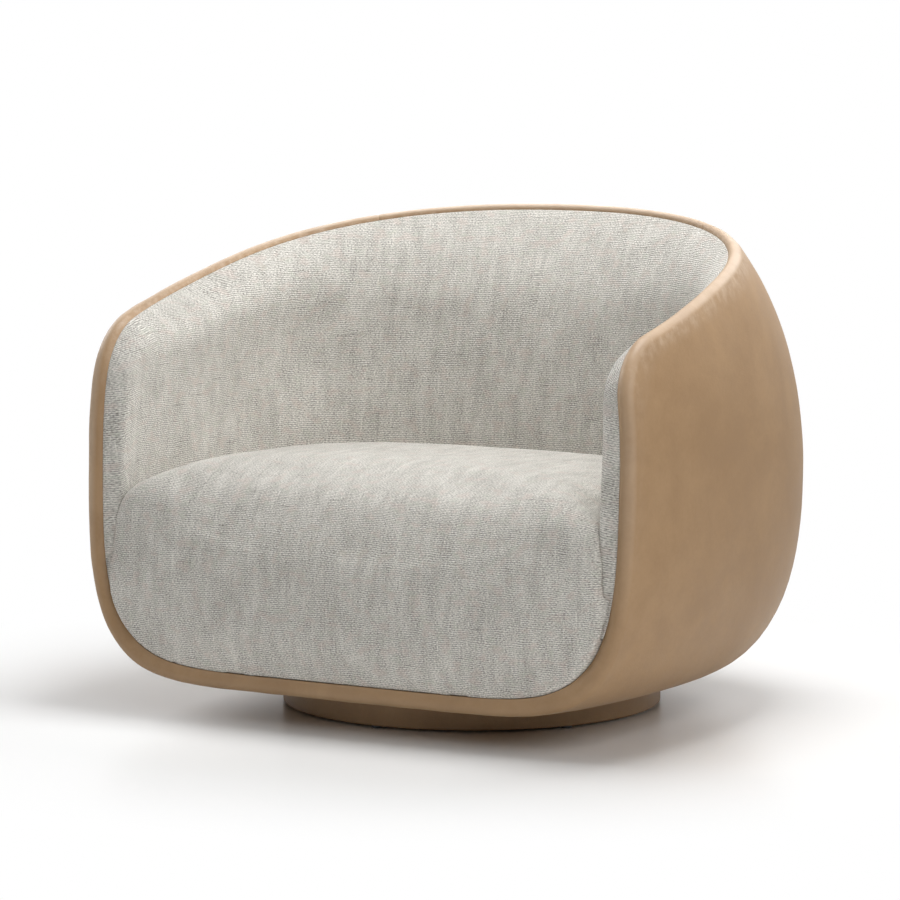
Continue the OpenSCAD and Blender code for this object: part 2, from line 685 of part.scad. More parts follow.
module lower_plate_screws() {
  color("dimgray") on_axis(lower_plate_z) for (x = [-1, 1]) for (y = [-1, 1])
    translate([x * plate_hole, y * plate_hole, 0]) {
      translate([0, 0, -14]) cylinder(r = screw_r, h = 17, $fn = 24);
      translate([0, 0, plate_t]) cylinder(r = 6, h = 3, $fn = 32);
    }
}

module upper_plate_bolts() {
  color("dimgray") on_axis() turned(4, 45) translate([upper_bolt_r, 0, 0]) {
    translate([0, 0, upper_plate_z - 4]) cylinder(r = 4.5, h = 4, $fn = 32);
    translate([0, 0, upper_plate_z - 0.5]) cylinder(r = screw_r, h = board_top_z - upper_plate_z, $fn = 24);
  }
}

tee_barrel_l = 12;
tee_flange_r = 11;
tee_flange_t = 1.6;
module tee_nuts() {
  color("slategray") on_axis(board_top_z) turned(4, 45) translate([upper_bolt_r, 0, 0]) difference() {
    union() {
      translate([0, 0, 0.5 - tee_barrel_l]) cylinder(r = tee_barrel_r, h = tee_barrel_l, $fn = 24);
      cylinder(r = tee_flange_r, h = tee_flange_t, $fn = 32);
    }
    translate([0, 0, -20]) cylinder(r = screw_r, h = 40, $fn = 24);
  }
}

// Plinth: bent drum, board that carries the swivel, leather band and glides
band_t = 2.2;
drum_r = plinth_r - band_t;
drum_h = plinth_top - glide_h - 2;
board_r = drum_r - drum_wall;
glide_ring_r = drum_r - drum_wall / 2;
glide_r = 8.5;
glide_screw_r = 1.8;
glide_head_r = 3.6;
module plinth_drum() {
  color("burlywood") on_axis(glide_h) difference() {
    cylinder(r = drum_r, h = drum_h, $fn = 180);
    translate([0, 0, -1]) cylinder(r = board_r, h = drum_h + 2, $fn = 180);
    turned(glide_count, -90) translate([glide_ring_r, 0, -1]) cylinder(r = glide_screw_r, h = 17, $fn = 24);
  }
}

base_board_t = 18;
module base_board() {
  color("burlywood") on_axis(lower_plate_z - base_board_t) difference() {
    cylinder(r = board_r, h = base_board_t, $fn = 180);
    translate([0, 0, -1]) cylinder(r = access_r, h = base_board_t + 2, $fn = 60);
    for (x = [-1, 1]) for (y = [-1, 1]) translate([x * plate_hole, y * plate_hole, 4])
      cylinder(r = screw_r, h = base_board_t, $fn = 24);
  }
}

band_lap = 15;
module plinth_leather_band() {
  color([0.42, 0.33, 0.24]) on_axis(glide_h) difference() {
    union() {
      cylinder(r = plinth_r, h = drum_h, $fn = 180);
      translate([0, 0, drum_h]) cylinder(r1 = plinth_r, r2 = plinth_r - 1, h = 2, $fn = 180);
    }
    translate([0, 0, -1]) cylinder(r = drum_r, h = drum_h + 1, $fn = 180);
    translate([0, 0, -1]) cylinder(r = drum_r - band_lap, h = drum_h + 4, $fn = 180);
  }
}

module at_glides() on_axis() turned(glide_count, -90) translate([glide_ring_r, 0, 0]) children();

module glides() {
  color([0.12, 0.12, 0.12]) at_glides() difference() {
    union() {
      cylinder(r1 = glide_r - 1, r2 = glide_r, h = 1, $fn = 40);
      translate([0, 0, 1]) cylinder(r = glide_r, h = glide_h - 1, $fn = 40);
    }
    translate([0, 0, -1]) cylinder(r = glide_head_r, h = 3.2, $fn = 24);
    translate([0, 0, -1]) cylinder(r = glide_screw_r, h = glide_h + 2, $fn = 24);
  }
}

module glide_screws() {
  color("dimgray") at_glides() {
    translate([0, 0, 0.9]) cylinder(r = glide_head_r, h = 1.3, $fn = 24);
    translate([0, 0, 1.5]) cylinder(r = glide_screw_r, h = 16, $fn = 24);
  }
}

plinth_drum();
plinth_leather_band();
base_board();
glides();
glide_screws();
swivel_lower_plate();
lower_plate_screws();
centre_rivet();
ball_cage();
bearing_balls();
swivel_upper_plate();
upper_plate_bolts();
tee_nuts();
bottom_board();
front_rail();
back_rail();
left_rail();
right_rail();
back_rib_centre();
back_rib_left();
back_rib_right();
back_rib_far_left();
back_rib_far_right();
shell_gussets();
seat_springs();
spring_clips();
deck_pad();
moulded_shell();
leather_wrap();
leather_back_panel();
inside_pad();
seat_cushion();
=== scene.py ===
import json
import math

import bpy
import numpy as np
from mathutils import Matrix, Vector, noise
from mathutils.bvhtree import BVHTree


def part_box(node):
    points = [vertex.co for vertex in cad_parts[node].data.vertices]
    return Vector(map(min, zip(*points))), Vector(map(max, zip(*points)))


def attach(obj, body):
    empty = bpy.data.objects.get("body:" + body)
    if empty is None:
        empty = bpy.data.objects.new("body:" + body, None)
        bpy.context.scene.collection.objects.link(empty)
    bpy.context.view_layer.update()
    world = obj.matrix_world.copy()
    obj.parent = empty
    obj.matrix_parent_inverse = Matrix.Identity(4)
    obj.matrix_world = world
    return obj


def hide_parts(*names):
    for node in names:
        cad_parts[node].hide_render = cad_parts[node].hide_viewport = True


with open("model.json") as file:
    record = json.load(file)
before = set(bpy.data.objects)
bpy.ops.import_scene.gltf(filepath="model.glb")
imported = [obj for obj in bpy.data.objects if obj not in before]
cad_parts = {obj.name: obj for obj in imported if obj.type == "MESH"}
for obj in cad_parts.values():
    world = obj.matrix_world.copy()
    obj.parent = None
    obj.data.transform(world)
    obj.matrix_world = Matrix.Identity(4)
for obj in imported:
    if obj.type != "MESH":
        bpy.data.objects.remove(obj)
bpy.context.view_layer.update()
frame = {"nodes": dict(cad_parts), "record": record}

scene = bpy.context.scene

# Sizes in metres and angles in degrees, as in the part's source. The swivel axis stands at AXIS_Y.
AXIS_Y = -0.020

# Egg: the belly's plan and its squareness, the rise above the belly, the fall below it to the ring
HALF_W, FRONT_REACH, BACK_REACH, EGG_FORWARD = 0.500, 0.671, 0.471, 0.053
PLAN_FRONT, PLAN_BACK, PLAN_RELAX, RELAX_H = 2.44, 2.84, 0.5, 0.333
BELLY_Z, SIDE_RISE, SIDE_SQUARE, BACK_RISE, BACK_SQUARE = 0.385, 0.510, 2.46, 0.525, 2.12
LOW_FRONT, LOW_SIDE, LOW_BACK = 4.9, 2.84, 2.02
RING_R, RING_Z = 0.298, 0.051
TURN_H = 0.3

# Opening: the leaning front cut, the sloping top cut, the arm's corner, the lip and the wall at the rim
FRONT_Y, FRONT_LEAN, ARM_Z, TOP_SLOPE, CORNER_R = 0.366, 2.0, 0.584, 15.2, 0.104
TOP_CUT_LOW, TOP_CUT_HIGH = 0.45, 0.86
LIP_TOP_Z, LIP_END_ANGLE = 0.135, -24.0
RIM_T, HEM_W = 0.025, 0.030

# Stations along half the rim, from the middle of the lip to the middle of the back, and where the seam starts
LIP, UPRIGHT, CORNER, TOP = 12, 8, 6, 15
RIM = LIP + UPRIGHT + CORNER + TOP
SEAM = RIM - 6.1

# Line in the rim's roll along which its length is measured, and how unevenly the leather's lines are spaced
MID_DROP, MID_DEPTH = 0.004, 0.012
LIP_EASE, RING_EASE, ANGLE_EASE, HEIGHT_EASE = 1.4, 1.3, 1.7, 1.15

# Inside face of the lining, the lining's thickness, its roll and its low edge
INNER_W, INNER_BACK_Y, RECLINE, INNER_Y = 0.412, 0.180, 7.0, 0.100
INNER_SQUARE, INNER_FRONT_REACH = 2.6, 0.900
PAD_T, PAD_ROLL, PAD_LOW_Z, PAD_BACK_LOW_Z = 0.062, 0.045, 0.174, 0.250

# Seat: the crown, the front and its apron, the widest height and the deck that it lies on
SEAT_Z, SEAT_FALL, SEAT_FRONT_Y, APRON_T = 0.384, 0.010, 0.378, 0.062
SEAT_MID_Z, DECK_TOP_Z, DECK_CORNER = 0.230, 0.2472, 0.036


# Form of the egg
def mix(a, b, t):
    return a + (b - a) * t


def tan(d):
    """Tangent of an angle in degrees."""
    return math.tan(math.radians(d))


def squared(a, power):
    """Point of a squared circle in direction a: power is 2 for a true circle, and more for squarer ones."""
    across, along = np.cos(np.radians(a)), np.sin(np.radians(a))
    scale = (np.abs(across) ** power + np.abs(along) ** power) ** (-1 / power)
    return scale * across, scale * along


def rise_share(z, rise, square):
    """Share of the belly's reach that is left at height z."""
    climb = np.clip((z - BELLY_Z) / rise, 0, 0.9999)
    return (1 - climb**square) ** (1 / square)


def plan_point(a, z, inset):
    """Point of the plan at height z, on the belly or above it, before the egg is moved forward."""
    back = a > 0
    power = np.where(back, PLAN_BACK - PLAN_RELAX * np.maximum(0, (z - BELLY_Z) / RELAX_H), PLAN_FRONT)
    px, py = squared(a, power)
    side, rear = rise_share(z, SIDE_RISE, SIDE_SQUARE), rise_share(z, BACK_RISE, BACK_SQUARE)
    reach = np.where(back, (BACK_REACH - inset) * rear, (FRONT_REACH - inset) * side)
    return (HALF_W - inset) * side * px, reach * py


def belly(a, inset):
    """Point of the belly, its reach, and the squareness of the curve that falls from it to the ring."""
    x, y = plan_point(a, np.full(np.shape(a), BELLY_Z), inset)
    reach = np.hypot(x, y)
    rearward = y / reach
    return x, y, reach, mix(LOW_SIDE, np.where(rearward > 0, LOW_BACK, LOW_FRONT), rearward * rearward)


def lower_point(x, y, reach, z, out):
    """Point at height z between the ring, where out is 0, and the belly, where it is 1."""
    return np.stack([mix(RING_R * x / reach, x, out), mix(RING_R * y / reach, y - EGG_FORWARD, out), z], -1)


def egg(a, z, inset=0.0):
    """Point of the egg in direction a at height z, drawn in by inset."""
    a, z, inset = (np.array(v, float) for v in np.broadcast_arrays(a, z, inset))
    high_x, high_y = plan_point(a, np.maximum(z, BELLY_Z), inset)
    x, y, reach, power = belly(a, inset)
    fall = np.clip((BELLY_Z - z) / (BELLY_Z - RING_Z - inset), 0, 1)
    low = lower_point(x, y, reach, z, (1 - fall**power) ** (1 / power))
    high = np.stack([high_x, high_y - EGG_FORWARD, z], -1)
    return np.where((z >= BELLY_Z)[..., None], high, low)


def turn_of(a, z, inset):
    """Place on the egg's upright curve: -1 at the ring, 0 at the belly, 1 more for each TURN_H above it."""
    power = belly(a, inset)[-1]
    fall = np.clip((BELLY_Z - z) / (BELLY_Z - RING_Z - inset), 0, 1)
    low = -np.degrees(np.arctan2(fall, (1 - fall**power) ** (1 / power))) / 90
    return np.where(z >= BELLY_Z, (z - BELLY_Z) / TURN_H, low)


def egg_turn(a, u, inset):
    """Point of the egg in direction a at the place u that turn_of gives."""
    x, y, reach, power = belly(a, inset)
    across, down = np.abs(np.cos(np.radians(90 * u))), np.abs(np.sin(np.radians(90 * u)))
    scale = (across**power + down**power) ** (-1 / power)
    z = BELLY_Z - scale * down * (BELLY_Z - RING_Z - inset)
    low = lower_point(x, y, reach, z, np.where(u <= -1, 0, scale * across))
    high = egg(a, BELLY_Z + TURN_H * np.maximum(u, 0), inset)
    return np.where((u >= 0)[..., None], high, low)


def inner_face(a, z):
    """Point of the lining's inside face in direction a at height z."""
    a, z = (np.array(v, float) for v in np.broadcast_arrays(a, z))
    px, py = squared(a, INNER_SQUARE)
    side = rise_share(z, SIDE_RISE, SIDE_SQUARE)
    back = INNER_BACK_Y + INNER_Y + tan(RECLINE) * (z - SEAT_Z)
    reach = np.where(a > 0, back, INNER_FRONT_REACH)
    return np.stack([INNER_W * side * px, reach * py - INNER_Y, z], -1)


# Rim of the opening
def front_line_y(z):
    """Depth of the front cut at height z."""
    return -FRONT_Y + tan(FRONT_LEAN) * (z - RELAX_H)


CORNER_POINT = (front_line_y(ARM_Z), ARM_Z)
CORNER_TURN = 90 - TOP_SLOPE - FRONT_LEAN
CORNER_REACH = CORNER_R * tan(CORNER_TURN / 2)
LEAN_S, LEAN_C = math.sin(math.radians(FRONT_LEAN)), math.cos(math.radians(FRONT_LEAN))
CORNER_START = (CORNER_POINT[0] - CORNER_REACH * LEAN_S, CORNER_POINT[1] - CORNER_REACH * LEAN_C)
CORNER_CENTRE = (CORNER_START[0] + CORNER_R * LEAN_C, CORNER_START[1] - CORNER_R * LEAN_S)


def top_line_z(y):
    """Height of the top cut at depth y."""
    return ARM_Z + tan(TOP_SLOPE) * (y - CORNER_POINT[0])


def root(f, lo, hi, steps=34):
    """Where the rising function f passes zero between lo and hi, found by halving."""
    lo, hi = (np.array(v, float) for v in np.broadcast_arrays(lo, hi))
    for _ in range(steps):
        middle = (lo + hi) / 2
        above = f(middle) > 0
        hi, lo = np.where(above, middle, hi), np.where(above, lo, middle)
    return (lo + hi) / 2


def rim_mark(s, off, surf):
    """Angle and height of rim stations s on a surface, with the opening drawn in by off."""
    s, off = (np.array(v, float) for v in np.broadcast_arrays(s, off))

    def angle_at(y, z):
        return root(lambda a: surf(a, z)[..., 1] - y, np.full(s.shape, -90.0), np.full(s.shape, 90.0))

    lip_top = LIP_TOP_Z + off
    share = np.clip(s / LIP, 0, 1)
    lip_a = mix(-90, angle_at(front_line_y(lip_top) + off, lip_top), 1 - (1 - share) ** LIP_EASE)
    lip_z = root(lambda h: front_line_y(h) + off - surf(lip_a, h)[..., 1],
                 np.full(s.shape, RING_Z), lip_top + 0.001)
    share = np.clip((s - LIP) / UPRIGHT, 0, 1)
    up_z = mix(lip_top, CORNER_START[1], share)
    up_a = angle_at(front_line_y(up_z) + off, up_z)
    share = np.clip((s - LIP - UPRIGHT) / CORNER, 0, 1)
    turn = np.radians(180 - FRONT_LEAN - CORNER_TURN * share)
    corner_z = CORNER_CENTRE[1] + (CORNER_R - off) * np.sin(turn)
    corner_a = angle_at(CORNER_CENTRE[0] + (CORNER_R - off) * np.cos(turn), corner_z)
    turn = np.radians(180 - FRONT_LEAN - CORNER_TURN)
    end_z = CORNER_CENTRE[1] + (CORNER_R - off) * np.sin(turn)
    end_a = angle_at(CORNER_CENTRE[0] + (CORNER_R - off) * np.cos(turn), end_z)
    top_a = mix(end_a, 90, np.clip((s - RIM + TOP) / TOP, 0, 1))
    drop = off / math.cos(math.radians(TOP_SLOPE))
    top_z = root(lambda h: h - top_line_z(surf(top_a, h)[..., 1]) + drop,
                 np.full(s.shape, TOP_CUT_LOW), np.full(s.shape, TOP_CUT_HIGH))
    parts = [s < LIP, s < LIP + UPRIGHT, s < RIM - TOP]
    return np.select(parts, [lip_a, up_a, corner_a], top_a), np.select(parts, [lip_z, up_z, corner_z], top_z)


def rim_point(s, off, inset):
    """Point of the rim at stations s, drawn down from the opening by off and in from the egg by inset."""
    s, off, inset = (np.array(v, float) for v in np.broadcast_arrays(s, off, inset))
    a, z = rim_mark(s, off, lambda a, z: egg(a, z, inset))
    return egg(a, z, inset)


def ring_angle(s):
    """Direction in which the line from a rim station ends on the ring."""
    rest = np.clip((s - LIP) / (RIM - LIP), 0, 1) ** RING_EASE
    return np.where(s <= LIP, mix(-90, LIP_END_ANGLE, s / LIP), mix(LIP_END_ANGLE, 90, rest))


def shell_path(s, off, inset, v):
    """Grid of points over the egg from the rim stations s down to the ring, by the shares v."""
    a, z = rim_mark(s, off, lambda a, z: egg(a, z, inset))
    u = turn_of(a, z, inset)
    path_a = mix(a[:, None], ring_angle(s)[:, None], 1 - (1 - v[None, :]) ** ANGLE_EASE)
    path_u = mix(u[:, None], -1.0, v[None, :] ** HEIGHT_EASE)
    return egg_turn(path_a, path_u, inset)


def even_stations(lo, hi, count, close=()):
    """Rim stations from lo to hi at even lengths along the rim, with extra ones close to each end."""
    fine = np.linspace(lo, hi, 900)
    line = rim_point(fine, MID_DROP, MID_DEPTH)
    length = np.concatenate([[0], np.cumsum(np.linalg.norm(np.diff(line, axis=0), axis=1))])
    at = list(np.linspace(0, length[-1], count))
    at = sorted(set(at) | {c for c in close if c > 0} | {length[-1] + c for c in close if c < 0})
    return np.interp(at, length, fine), np.array(at)


# Mesh helpers
def only(ob):
    bpy.ops.object.select_all(action="DESELECT")
    ob.select_set(True)
    bpy.context.view_layer.objects.active = ob


def in_edit(ob, *steps):
    """Does the steps in edit mode, with the whole mesh selected at first."""
    only(ob)
    bpy.ops.object.mode_set(mode="EDIT")
    bpy.ops.mesh.select_all(action="SELECT")
    for step in steps:
        step()
    bpy.ops.object.mode_set(mode="OBJECT")


def outward(ob):
    """Merges doubles and points the faces outwards."""
    in_edit(ob, lambda: bpy.ops.mesh.remove_doubles(threshold=1e-6),
            lambda: bpy.ops.mesh.normals_make_consistent(inside=False))


def apply_all(ob):
    only(ob)
    for modifier in list(ob.modifiers):
        bpy.ops.object.modifier_apply(modifier=modifier.name)


def of_vertices(ob, what):
    out = np.zeros(len(ob.data.vertices) * 3)
    ob.data.vertices.foreach_get(what, out)
    return out.reshape(-1, 3)


def coords(ob):
    return of_vertices(ob, "co")


def normals(ob):
    return of_vertices(ob, "normal")


def put_coords(ob, co):
    ob.data.vertices.foreach_set("co", np.ascontiguousarray(co, dtype=float).ravel())
    ob.data.update()


def draped_grid(name, points, uv=None):
    """A grid primitive whose vertices are laid on points[column, row]."""
    columns, rows = points.shape[:2]
    bpy.ops.mesh.primitive_grid_add(x_subdivisions=columns - 1, y_subdivisions=rows - 1, size=2)
    ob = bpy.context.object
    ob.name = ob.data.name = name
    co = coords(ob)
    column = np.rint((co[:, 0] + 1) / 2 * (columns - 1)).astype(int)
    row = np.rint((co[:, 1] + 1) / 2 * (rows - 1)).astype(int)
    placed = points[column, row].copy()
    placed[:, 1] += AXIS_Y
    put_coords(ob, placed)
    if uv is not None:
        set_uv(ob, uv[column, row])
    return ob


def loop_vertices(ob):
    loops = np.zeros(len(ob.data.loops), int)
    ob.data.loops.foreach_get("vertex_index", loops)
    return loops


def set_uv(ob, uv, name="cloth"):
    layer = ob.data.uv_layers[0] if ob.data.uv_layers else ob.data.uv_layers.new(name=name)
    layer.name = name
    layer.data.foreach_set("uv", uv[loop_vertices(ob)].astype(float).ravel())


def vertex_uv(ob):
    uv = np.zeros(len(ob.data.loops) * 2)
    ob.data.uv_layers[0].data.foreach_get("uv", uv)
    out = np.zeros((len(ob.data.vertices), 2))
    out[loop_vertices(ob)] = uv.reshape(-1, 2)
    return out


def smooth(ob, angle=None):
    only(ob)
    if angle is None:
        bpy.ops.object.shade_smooth()
    else:
        bpy.ops.object.shade_smooth_by_angle(angle=math.radians(angle))


def solidify(ob, thickness):
    """Gives a sheet its thickness on the inner side."""
    wall = ob.modifiers.new("thickness", "SOLIDIFY")
    wall.thickness, wall.offset = thickness, -1.0
    apply_all(ob)


def finish_piece(ob, body, material, slot, *replaced):
    ob.data.materials.clear()
    ob.data.materials.append(material)
    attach(ob, body)
    if replaced:
        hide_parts(*replaced)
    return ob


# Shader helpers
class Graph:
    """Short way to write a node tree: g.add(type, socket=value, ...), with links given as sockets."""

    def __init__(self, tree):
        self.tree = tree
        self.column = 0

    def add(self, kind, props=None, **inputs):
        n = self.tree.nodes.new(kind)
        n.location = (self.column * 190, -(self.column % 4) * 170)
        self.column += 1
        for k, v in (props or {}).items():
            setattr(n, k, v)
        for k, v in inputs.items():
            self.feed(n.inputs[int(k[1:]) if k[0] == "i" and k[1:].isdigit() else k.replace("_", " ")], v)
        return n

    def feed(self, socket, value):
        """Links a socket to another one, or gives it a plain value."""
        if isinstance(value, bpy.types.NodeSocket):
            self.tree.links.new(value, socket)
        else:
            socket.default_value = value

    def math(self, op, a, b=0.0):
        return self.add("ShaderNodeMath", {"operation": op}, i0=a, i1=b).outputs[0]

    def product(self, first, *others):
        for factor in others:
            first = self.math("MULTIPLY", first, factor)
        return first

    def weighted(self, *terms):
        """Sum of values, each times its weight."""
        total = self.math("MULTIPLY", *terms[0])
        for value, weight in terms[1:]:
            total = self.math("ADD", total, self.math("MULTIPLY", value, weight))
        return total

    def wave(self, angle):
        """Sine of an angle, laid between 0 and 1."""
        sine = self.math("SINE", angle)
        return self.add("ShaderNodeMath", {"operation": "MULTIPLY_ADD"}, i0=sine, i1=0.5, i2=0.5).outputs[0]

    def ramp(self, fac, lo, hi, to_lo=0.0, to_hi=1.0):
        n = self.add("ShaderNodeMapRange", {"interpolation_type": "SMOOTHSTEP"},
                     i0=fac, i1=lo, i2=hi, i3=to_lo, i4=to_hi)
        return n.outputs[0]

    def noise(self, vector, scale, detail=3.0, rough=0.55, distort=0.0):
        n = self.add("ShaderNodeTexNoise", None,
                     Vector=vector, Scale=scale, Detail=detail, Roughness=rough, Distortion=distort)
        return n.outputs["Fac"]

    def stretched(self, vector, sx, sy, sz=1.0):
        n = self.add("ShaderNodeMapping", {"vector_type": "POINT"}, Vector=vector, Scale=(sx, sy, sz))
        return n.outputs[0]

    def mix_color(self, fac, a, b):
        n = self.add("ShaderNodeMix", {"data_type": "RGBA", "clamp_factor": True}, i0=fac, i6=a, i7=b)
        return n.outputs[2]


def group(name, inputs, outputs):
    """A node group, its graph, and the nodes that hold its inputs and take its outputs."""
    tree = bpy.data.node_groups.new(name, "ShaderNodeTree")
    for label, kind, value in inputs:
        socket = tree.interface.new_socket(label, in_out="INPUT", socket_type=kind)
        if value is not None:
            socket.default_value = value
    for label, kind in outputs:
        tree.interface.new_socket(label, in_out="OUTPUT", socket_type=kind)
    g = Graph(tree)
    return tree, g, tree.nodes.new("NodeGroupInput"), tree.nodes.new("NodeGroupOutput")


def material(name):
    """A material, its graph and its shader."""
    finish = bpy.data.materials.new(name)
    finish.use_nodes = True
    finish.node_tree.nodes.clear()
    g = Graph(finish.node_tree)
    shader = g.add("ShaderNodeBsdfPrincipled")
    out = g.add("ShaderNodeOutputMaterial")
    finish.node_tree.links.new(shader.outputs[0], out.inputs[0])
    return finish, g, shader


def use(g, tree, **inputs):
    return g.add("ShaderNodeGroup", {"node_tree": tree}, **inputs)


def bump(g, shader, height, distance, strength=1.0):
    n = g.add("ShaderNodeBump", None, Height=height, Distance=distance, Strength=strength)
    g.feed(shader.inputs["Normal"], n.outputs[0])


COLOR, FLOAT, VECTOR = "NodeSocketColor", "NodeSocketFloat", "NodeSocketVector"
WHITE, BLACK = (1, 1, 1, 1), (0, 0, 0, 1)

# Linen: distance between ribs, length of a float, and the two faint casts in its yarn
RIB_PITCH, FLOAT_L = 0.0030, 0.0062
ROSE_CAST, GREEN_CAST = (0.62, 0.50, 0.45, 1), (0.50, 0.54, 0.44, 1)
FABRIC_LIGHT, FABRIC_DARK = (0.865, 0.838, 0.778, 1), (0.150, 0.139, 0.118, 1)

LEATHER_LIGHT, LEATHER_DARK = (0.374, 0.234, 0.118, 1), (0.300, 0.180, 0.085, 1)
# Pale tone laid on the rim: partly wear, partly a painted highlight
LEATHER_WEAR_AND_HIGHLIGHT = (0.82, 0.68, 0.55, 1)


# Shared effects
def linen_group():
    """Weave on a UV map in metres: ribs run along U, broken into floats that step from rib to rib."""
    tree, g, given, result = group(
        "linen weave",
        [("Vector", VECTOR, None), ("Rib pitch", FLOAT, RIB_PITCH),
         ("Light yarn", COLOR, WHITE), ("Dark yarn", COLOR, BLACK)],
        [("Color", COLOR), ("Height", FLOAT)])
    at = given.outputs["Vector"]
    wander = g.math("SUBTRACT", g.noise(g.stretched(at, 22, 30), 1.0, 2), 0.5)
    sep = g.add("ShaderNodeSeparateXYZ", None, Vector=at)
    up = g.math("ADD", sep.outputs[1], g.math("MULTIPLY", wander, 0.0075))
    turn = g.math("DIVIDE", up, given.outputs["Rib pitch"])
    rib = g.wave(g.math("MULTIPLY", turn, 2 * math.pi))
    row = g.math("FLOOR", g.math("ADD", turn, 0.25))
    uneven = g.noise(g.stretched(at, 95, 333), 1.0, 2)
    step = g.weighted((row, math.pi), (uneven, 9.0))
    floats = g.wave(g.math("ADD", g.math("MULTIPLY", sep.outputs[0], 2 * math.pi / FLOAT_L), step))
    weave = g.math("MULTIPLY", rib, g.math("ADD", g.math("MULTIPLY", floats, 0.45), 0.55))
    fleck = g.noise(g.stretched(at, 330, 700), 1.0, 2, 0.7)
    band = g.noise(g.stretched(at, 60, 16), 1.0, 3, 0.6)
    cloud = g.noise(g.stretched(at, 14, 14), 1.0, 3, 0.6)
    slub = g.ramp(g.noise(g.stretched(at, 20, 400), 1.0, 2), 0.63, 0.72)
    warp = g.ramp(g.noise(g.stretched(at, 400, 18), 1.0, 2), 0.62, 0.72)
    tone = g.weighted((weave, 0.62), (fleck, 2.45), (band, 0.55), (cloud, 0.36), (slub, -0.34), (warp, 0.26))
    color = g.mix_color(g.ramp(tone, 1.10, 2.56), given.outputs["Dark yarn"], given.outputs["Light yarn"])
    rose = g.ramp(g.noise(g.stretched(at, 42, 60), 1.0, 2), 0.52, 0.66, 0, 0.30)
    green = g.ramp(g.noise(g.stretched(at, 34, 52), 1.3, 2), 0.54, 0.68, 0, 0.22)
    color = g.mix_color(green, g.mix_color(rose, color, ROSE_CAST), GREEN_CAST)
    g.feed(result.inputs["Color"], color)
    g.feed(result.inputs["Height"], g.math("ADD", weave, g.math("MULTIPLY", fleck, 0.5)))
    return tree


def leather_group():
    """Satin aniline-look leather: soft mottling, small grain and a paler tone for wear and painted highlight.
    """
    tree, g, given, result = group(
        "leather",
        [("Vector", VECTOR, None), ("Light", COLOR, WHITE), ("Dark", COLOR, BLACK),
         ("Grain", FLOAT, 1.0), ("Wear and highlight", FLOAT, 0.0)],
        [("Color", COLOR), ("Roughness", FLOAT), ("Height", FLOAT)])
    at = given.outputs["Vector"]
    cloud = g.noise(at, 5.5, 4, 0.6, 0.4)
    blotch = g.noise(at, 22.0, 4, 0.65)
    fine = g.noise(at, 190.0, 3, 0.6)
    pores = g.add("ShaderNodeTexVoronoi", {"feature": "F1"}, Vector=at, Scale=520.0).outputs["Distance"]
    creases = g.noise(g.stretched(at, 1, 1, 1.8), 60.0, 5, 0.7, 0.6)
    tone = g.weighted((cloud, 0.55), (blotch, 0.32), (fine, 0.13))
    color = g.mix_color(g.ramp(tone, 0.34, 0.68), given.outputs["Dark"], given.outputs["Light"])
    # Lightens towards the pale tone: rim wear and a painted highlight
    color = g.mix_color(g.math("MULTIPLY", given.outputs["Wear and highlight"], 0.85), color, LEATHER_WEAR_AND_HIGHLIGHT)
    grain = g.math("MULTIPLY", pores, given.outputs["Grain"])
    g.feed(result.inputs["Color"], color)
    g.feed(result.inputs["Roughness"], g.math("ADD", g.math("MULTIPLY", blotch, 0.16), 0.42))
    g.feed(result.inputs["Height"], g.weighted((creases, 0.55), (grain, 0.8), (fine, 0.3)))
    return tree


def speckle_group():
    """Uneven tone and roughness for moulded, plated and painted surfaces."""
    tree, g, given, result = group(
        "surface tone",
        [("Vector", VECTOR, None), ("Scale", FLOAT, 60.0), ("Light", COLOR, WHITE),
         ("Dark", COLOR, BLACK), ("Rough low", FLOAT, 0.3), ("Rough high", FLOAT, 0.5)],
        [("Color", COLOR), ("Roughness", FLOAT), ("Height", FLOAT)])
    at = given.outputs["Vector"]
    broad = g.noise(at, given.outputs["Scale"], 4, 0.6)
    fine = g.noise(at, g.math("MULTIPLY", given.outputs["Scale"], 12.0), 3, 0.6)
    span = g.math("SUBTRACT", given.outputs["Rough high"], given.outputs["Rough low"])
    color = g.mix_color(g.ramp(broad, 0.3, 0.7), given.outputs["Dark"], given.outputs["Light"])
    rough = g.math("ADD", given.outputs["Rough low"], g.math("MULTIPLY", span, fine))
    g.feed(result.inputs["Color"], color)
    g.feed(result.inputs["Roughness"], rough)
    g.feed(result.inputs["Height"], g.weighted((broad, 0.4), (fine, 0.6)))
    return tree


LINEN, LEATHER, TONE = linen_group(), leather_group(), speckle_group()


def rim_wear_and_highlight(g, at):
    """Pale tone of the rim, part wear and part painted highlight: a pale crest and a rubbed band outside it,
    both weaker low down and at the sides.
    """
    uv = g.add("ShaderNodeUVMap", {"uv_map": "skin"}).outputs[0]
    down = g.add("ShaderNodeSeparateXYZ", None, Vector=uv).outputs[1]
    across, _, height = g.add("ShaderNodeSeparateXYZ", None, Vector=at).outputs
    off_crest = g.math("ABSOLUTE", g.math("ADD", down, 0.012))
    patchy = g.noise(at, 34.0, 3)
    # The pale crest is a painted highlight as well as wear, and it is paler on the -x half
    crest_wear_and_highlight = g.product(g.ramp(off_crest, 0.004, 0.015, 1, 0), g.ramp(patchy, 0.25, 0.65, 0.75, 1),
                      g.ramp(height, 0.56, 0.70, 0.34, 1), g.ramp(across, 0.08, 0.36, 1, 0.55),
                      g.ramp(height, 0.16, 0.40, 0.15, 1))
    # The rubbed band is wear and a painted highlight along the outer roll
    brushed = g.noise(g.stretched(at, 1, 1, 0.6), 70.0, 4, 0.65)
    rubbed_wear_and_highlight = g.product(g.ramp(down, 0.002, 0.040, 0.30, 0), g.ramp(brushed, 0.35, 0.70, 0.2, 1),
                       g.ramp(height, 0.45, 0.62, 0.12, 1))
    return g.math("MAXIMUM", crest_wear_and_highlight, rubbed_wear_and_highlight)


